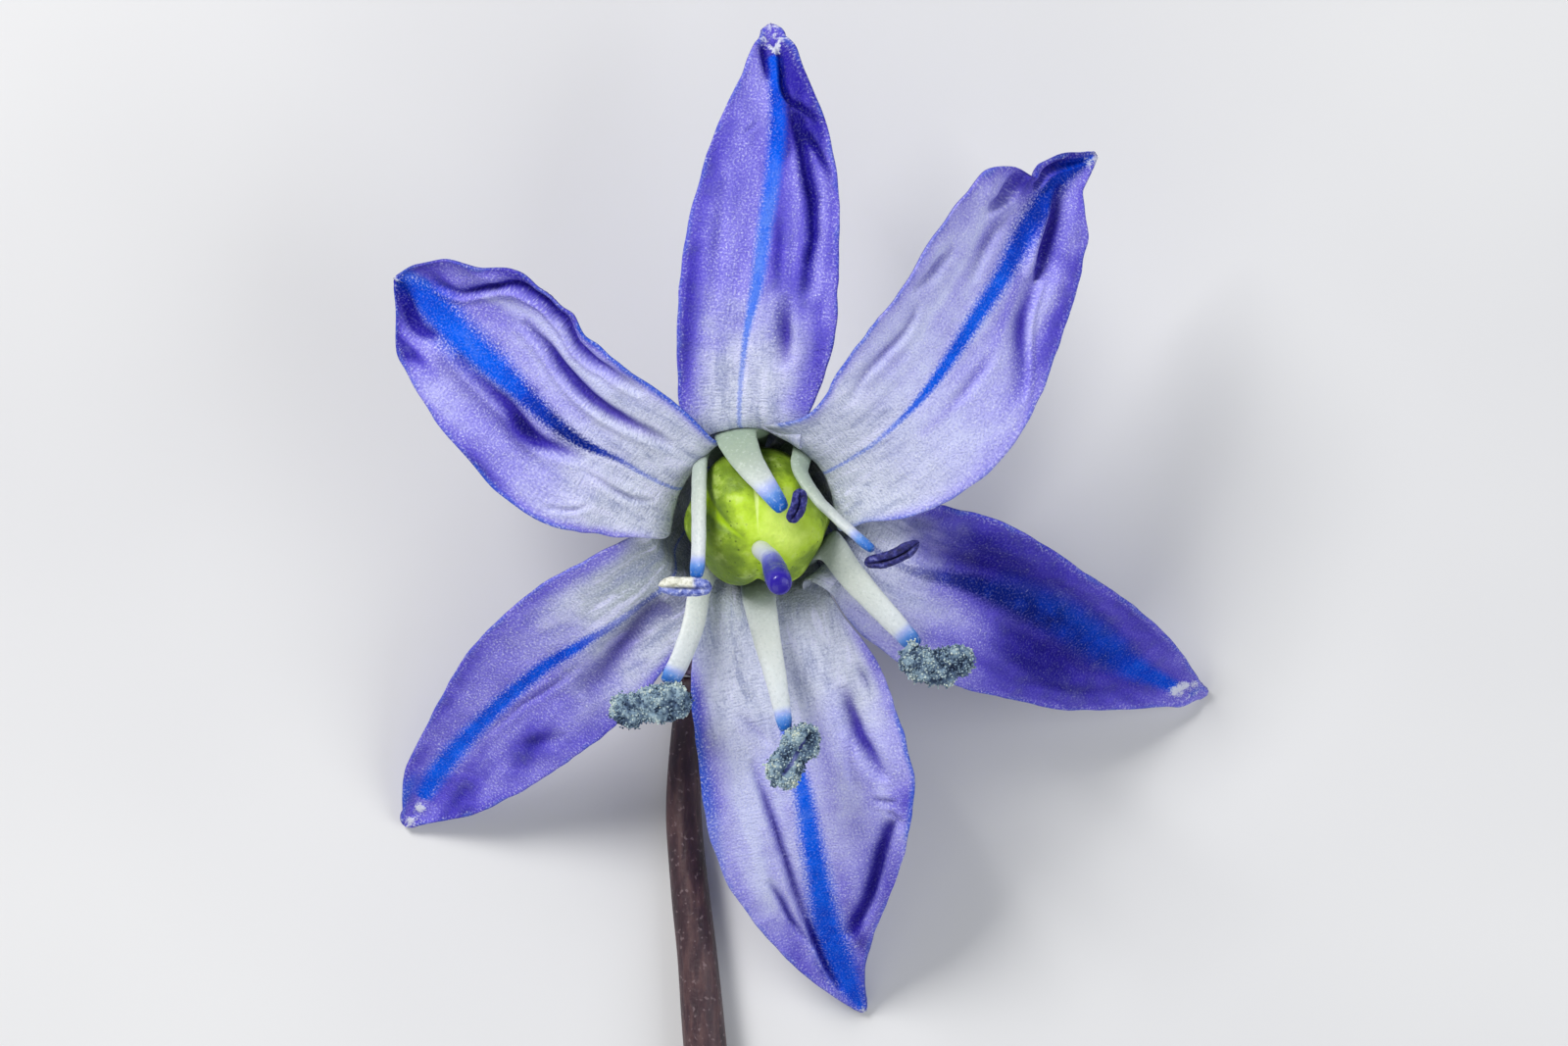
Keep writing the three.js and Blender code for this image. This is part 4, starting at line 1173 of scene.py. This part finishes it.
def dusty_anther_material():
    n = Nodes("squill_anther_dusty")
    place = n.place()
    dust_and_light = n.plus(n.number("dust_and_light"), n.centred(n.noise(place, 2.2, 2.0)), 0.7)
    stops = [(0.0, 30, 42, 70), (0.25, 84, 106, 134), (0.5, 140, 164, 180), (0.75, 190, 206, 204)]
    stops += [(1.0, 226, 230, 206)]
    shown = n.tint(n.ramp(dust_and_light, stops), colour(64, 66, 142), n.number("front"), 0.6, 0.85, 0.8)
    relief = n.bump(n.noise(place, 20, 1.0), 0.02, 0.6)
    return n.finish(Base_Color=shown, Roughness=0.75, Normal=relief, Specular_IOR_Level=0.2)


def add_stamens():
    filament = filament_material()
    anthers = {
        "closed": closed_anther_material(),
        "open": open_anther_material(),
        "dusty": dusty_anther_material(),
    }
    for index, (place, stamen) in enumerate(STAMENS.items()):
        add_piece(f"filament_{place}", filament_shape(stamen), filament)
        if stamen.kind == "dusty":
            shape = with_grains(anther_body(stamen, DUSTY_LUMPS), stamen.pale, index)
        else:
            shape = anther_body(stamen, SMOOTH_LUMPS)
        add_piece(f"anther_{place}", shape, anthers[stamen.kind])


# --- the pistil

# Places on the ovary are in degrees: from its top, and round it as bearings.
OVULE_ROWS = 4  # swellings along each half of a carpel
OVULE_ASIDE = 26  # how far the two rows lie from a carpel's middle
OVULE_TOP = 34  # where the first of a row is
OVULE_STEP = 30
OVULE_STRAY = 5
OVULE_SWELL = 0.17
OVULE_BASE = 0.08  # the swellings stand on a surface this far under the ovary's radius
OVULE_WIDTH = 17
OVULE_LENGTH = 14
FURROWS = [(30, 0.2), (150, 1.0), (270, 1.0)]  # their bearings and depths
FURROW_WIDTH = 9
FURROW_DEEPER = 1.6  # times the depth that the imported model's wider furrows have
SUTURE_BEARING = 92  # the pale line along the middle of the upper carpel
SUTURE_WIDTH = 3
SUTURE_MIDDLE = 45  # from the ovary's top
SUTURE_LENGTH = 34
SUTURE_DEPTH = 0.05
OVARY_FULLNESS = 0.92  # below 1 it is fuller than an ellipsoid
OVARY_BUMPS = (0.04, 0.5)  # height and size
LIT_SIDE_PLACE = (24, 35)  # where the painted light is strongest
LIT_SIDE_WIDTH = 37


def turn(bearing, other):
    """How many degrees apart two bearings are."""
    return np.abs((bearing - other + 180) % 360 - 180)


def apart(polar, bearing, other_polar, other_bearing):
    """How many degrees apart two places on the ovary are."""
    a, b = np.radians(polar), np.radians(other_polar)
    turned = np.radians(bearing - other_bearing)
    return np.degrees(np.arccos(np.cos(a) * np.cos(b) + np.sin(a) * np.sin(b) * np.cos(turned)))


def ovary_swell(polar, bearing):
    """The ovules' swellings: two rows down each carpel."""
    rng = np.random.default_rng(5)
    swell = 0 * polar
    for carpel in range(3):
        for aside in (-OVULE_ASIDE, OVULE_ASIDE):
            for row in range(OVULE_ROWS):
                at = 90 + 120 * carpel + aside + rng.uniform(-OVULE_STRAY, OVULE_STRAY)
                level = OVULE_TOP + OVULE_STEP * row + rng.uniform(-OVULE_STRAY, OVULE_STRAY)
                lump = bell_curve(turn(bearing, at), OVULE_WIDTH) * bell_curve(polar - level, OVULE_LENGTH)
                swell += rng.uniform(0.5, 1.1) * lump
    return swell


def ovary_shape():
    bearing, polar = np.meshgrid(np.linspace(0, 360, 240, endpoint=False), np.linspace(174, 6, 150))
    across = np.sin(np.radians(polar))
    along = OVARY_FOOT + OVARY_HEIGHT / 2 * (1 + np.cos(np.radians(polar)))
    furrow = sum(deep * bell_curve(turn(bearing, at), FURROW_WIDTH) for at, deep in FURROWS) * across**0.3
    suture = bell_curve(turn(bearing, SUTURE_BEARING), SUTURE_WIDTH)
    suture = suture * bell_curve(polar - SUTURE_MIDDLE, SUTURE_LENGTH)
    swell = ovary_swell(polar, bearing)
    sunk = FURROW_DEEPER * OVARY_FURROW * furrow + SUTURE_DEPTH * suture + OVULE_BASE
    out = (OVARY_RADIUS - sunk) * across**OVARY_FULLNESS
    rings = beside_axis(out + OVULE_SWELL * swell * across, along, bearing)
    outward = unit(rings - beside_axis(0 * out, along, bearing))
    height, size = OVARY_BUMPS
    rings = rings + outward * height * rough(rings, size)[..., None]
    sunny = bell_curve(apart(polar, bearing, *LIT_SIDE_PLACE), LIT_SIDE_WIDTH)
    return loft(rings, furrow=furrow, suture=suture, swell=swell, sunny=sunny)


def ovary_material():
    n = Nodes("squill_ovary")
    place = n.place()
    clouds = n.centred(n.noise(place, 1.9, 4.0, 0.6))
    sunny = n.number("sunny")
    # Painted light: lighter and yellower towards the lit side and on the swellings' tops, darker olive away
    # from it.
    greens = [(0.0, 84, 110, 34), (0.3, 124, 152, 44), (0.6, 186, 218, 58), (1.0, 226, 250, 118)]
    lit = n.plus(n.times(sunny, 0.85), n.number("swell"), 0.2)
    shown = n.ramp(n.plus(n.math("ADD", lit, 0.1), clouds, 0.8), greens)
    shown = n.tint(shown, colour(170, 208, 6), n.number("furrow"), 0.4, 0.95, 0.8)
    shown = n.tint(shown, colour(226, 244, 150), n.number("suture"), 0.2, 0.8, 0.8)
    shown = n.tint(shown, colour(190, 206, 136), clouds, 0.04, 0.18, 0.3)
    specks = n.step(n.cells(place, 4.6), 0.19, 0.09, 0.0, 0.7)
    shown = n.mix(n.times(specks, n.step(sunny, 0.7, 0.3)), shown, colour(62, 82, 30))
    return n.finish(
        Base_Color=shown,
        Roughness=0.46,
        Normal=n.bump(n.noise(place, 8, 2.0), 0.04, 0.5, n.bump(clouds, 0.12, 0.5)),
        Specular_IOR_Level=0.22,
        Subsurface_Weight=0.3,
        Subsurface_Radius=(0.8, 1.0, 0.3),
        Subsurface_Scale=0.4 * MM,
    )


def style_shape():
    foot = beside_axis(0, OVARY_FOOT + OVARY_HEIGHT + GAP, 0)
    path = Path([foot, (0.45, -2.1, 4.7), (0.61, -2.5, 5.6), (0.72, -2.8, 6.4)], ACROSS)
    radii = [0.27, 0.26, 0.29, 0.33, 0.35, 0.33]
    return stalk(path, stations(radii), steps=90, sides=48, rounding=0.08, bumps=(0.012, 0.25))


def style_material():
    n = Nodes("squill_style")
    cells = n.noise(n.place(), 9, 2.0)
    share = n.plus(n.number("share"), n.centred(cells), 0.12)
    stops = [(0.0, 206, 212, 188), (0.3, 190, 196, 218), (0.46, 96, 92, 204), (0.66, 44, 34, 160)]
    stops += [(1.0, 40, 22, 152)]
    return n.finish(Base_Color=n.ramp(share, stops), Roughness=0.26, Normal=n.bump(cells, 0.03, 0.4))


def add_pistil():
    add_piece("ovary", ovary_shape(), ovary_material())
    add_piece("style", style_shape(), style_material())


# --- the stalk


def receptacle_rings(sides):
    out, along = np.array(RECEPTACLE_OUTLINE).T
    bearing = np.linspace(0, 360, sides, endpoint=False)[None, :]
    grid = np.zeros((len(out), sides))
    return beside_axis(out[:, None] + grid, along[:, None] + grid, bearing + grid)


def pedicel_shape():
    points = [
        PEDICEL_FOOT,
        (-1.45, -3.6, TABLE + 0.5),
        (-1.0, -1.6, TABLE + 0.5),
        (-0.5, 0.0, TABLE + 0.9),
        (-0.15, 0.75, TABLE + 1.9),
        beside_axis(0, -1.5, 0),
        beside_axis(0, RECEPTACLE_OUTLINE[0][1] - GAP, 0),
    ]
    radius = stations(PEDICEL_RADII)
    return stalk(Path(points, RIGHT), radius, steps=160, sides=40, rounding=0.015, bumps=(0.015, 0.4))


def scape_shape():
    top = PEDICEL_FOOT[1] - GAP
    offsets = [(-1.75, 0, 0.62), (-2.0, -3.5, 0.6), (-1.6, -8, 0.7), (-1.1, -14, 0.8), (-0.3, -26, 0.95)]
    offsets += [(0.6, -44, 1.0), (0.9, -SCAPE_LENGTH, SCAPE_RADII[-1])]
    path = Path([(x, top + y, TABLE + z) for x, y, z in offsets], RIGHT)
    fine = {"steps": 420, "sides": 64, "rounding": 0.003}
    return stalk(path, stations(SCAPE_RADII), **fine, bumps=(0.02, 0.5), squeeze=(1, 0.25, 1))


def bract_shape():
    offsets = [(-0.45, 0.1, 0.35), (-0.62, 0.75, 0.55), (-0.7, 1.4, 0.75), (-0.66, 1.95, 0.95)]
    path = Path([PEDICEL_FOOT + offset for offset in offsets], (0.7, 0, 0.7))
    half_widths = stations([0.36, 0.44, 0.4, 0.26, 0.06])
    thick = stations([0.1, 0.08, 0.07, 0.06, 0.04])
    return stalk(path, half_widths, steps=50, sides=40, depth=thick, bumps=(0.012, 0.25))


def stalk_material(name, dark, middle, light):
    n = Nodes(name)
    place = n.place()
    streaks = n.noise(n.stretch(place, (1.0, 0.22, 1.0)), 3.2, 4.0, 0.6)
    flecks = n.noise(place, 7, 1.0)
    blend = n.plus(n.times(streaks, 0.7), n.noise(place, 0.5, 2.0), 0.3)
    # Dark to light streaks along it and pale flecks: partly its own mottling, partly painted highlights
    # along its ridges.
    shown = n.ramp(blend, [(0.35, *dark), (0.5, *middle), (0.66, *light)])
    shown = n.tint(shown, colour(160, 140, 144), flecks, 0.62, 0.74, 0.3)
    relief = n.bump(flecks, 0.03, 0.5, n.bump(streaks, 0.1, 0.6))
    return n.finish(Base_Color=shown, Roughness=0.5, Normal=relief)


def add_stalk():
    brown = stalk_material("squill_scape", (34, 20, 28), (58, 36, 44), (92, 66, 66))
    mauve = stalk_material("squill_pedicel", (60, 44, 72), (98, 76, 104), (140, 122, 140))
    blush = stalk_material("squill_bract", (112, 70, 96), (150, 104, 128), (196, 168, 180))
    pale = stalk_material("squill_receptacle", (84, 86, 120), (124, 132, 150), (176, 186, 176))
    add_piece("scape", scape_shape(), brown)
    add_piece("pedicel", pedicel_shape(), mauve)
    add_piece("bract", bract_shape(), blush)
    add_piece("receptacle", loft(receptacle_rings(72)), pale)


# --- floor, lights, camera


def add_floor():
    mesh = bpy.data.meshes.new("floor")
    half = FLOOR_SIZE / 2 * MM
    corners = [(-half, -half), (half, -half), (half, half), (-half, half)]
    mesh.from_pydata([(x, y, -FLOOR_DROP * MM) for x, y in corners], [], [(0, 1, 2, 3)])
    n = Nodes("floor")
    shown = n.ramp(n.noise(n.place(), 0.05, 2.0), [(0.3, 214, 214, 216), (0.7, 222, 222, 223)])
    mesh.materials.append(n.finish(Base_Color=shown, Roughness=0.9))
    add_object("floor", mesh)


def add_light(name, place, size, watts, tint):
    """A square soft light at a place in the flower's frame, turned to its face."""
    lamp = bpy.data.lights.new(name, "AREA")
    lamp.size = size * MM
    lamp.energy = watts
    lamp.color = tint
    light = add_object(name, lamp)
    light.location = (np.array(place) + ORIGIN) * MM
    light.rotation_euler = Vector(-np.array(place, float)).to_track_quat("-Z", "Y").to_euler()


def add_lights():
    for name, details in LIGHTS.items():
        add_light(name, *details)
    world = bpy.data.worlds.new("studio")
    world.use_nodes = True
    background = world.node_tree.nodes["Background"]
    background.inputs["Color"].default_value = STUDIO_TINT
    background.inputs["Strength"].default_value = STUDIO_STRENGTH
    bpy.context.scene.world = world


def add_camera():
    data = bpy.data.cameras.new("camera")
    data.sensor_width = SENSOR_WIDTH
    data.lens = SENSOR_WIDTH * CAMERA_HEIGHT * PIXELS_PER_MM / IMAGE_WIDTH
    data.clip_start = 0.01
    data.clip_end = 5
    camera = add_object("camera", data)
    camera.location = (np.array([*CAMERA_OVER, CAMERA_HEIGHT]) + ORIGIN) * MM
    bpy.context.scene.camera = camera


def origin_in_model():
    """Where the flower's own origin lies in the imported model, in millimetres."""
    low, high = (np.array(corner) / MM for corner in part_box("receptacle"))
    rings = receptacle_rings(RECEPTACLE_SIDES).reshape(-1, 3)
    return (low + high) / 2 - (rings.min(0) + rings.max(0)) / 2


ORIGIN = origin_in_model()
add_camera()
add_floor()
add_lights()
add_tepals()
add_stamens()
add_pistil()
add_stalk()
bpy.context.scene.view_settings.view_transform = "Standard"
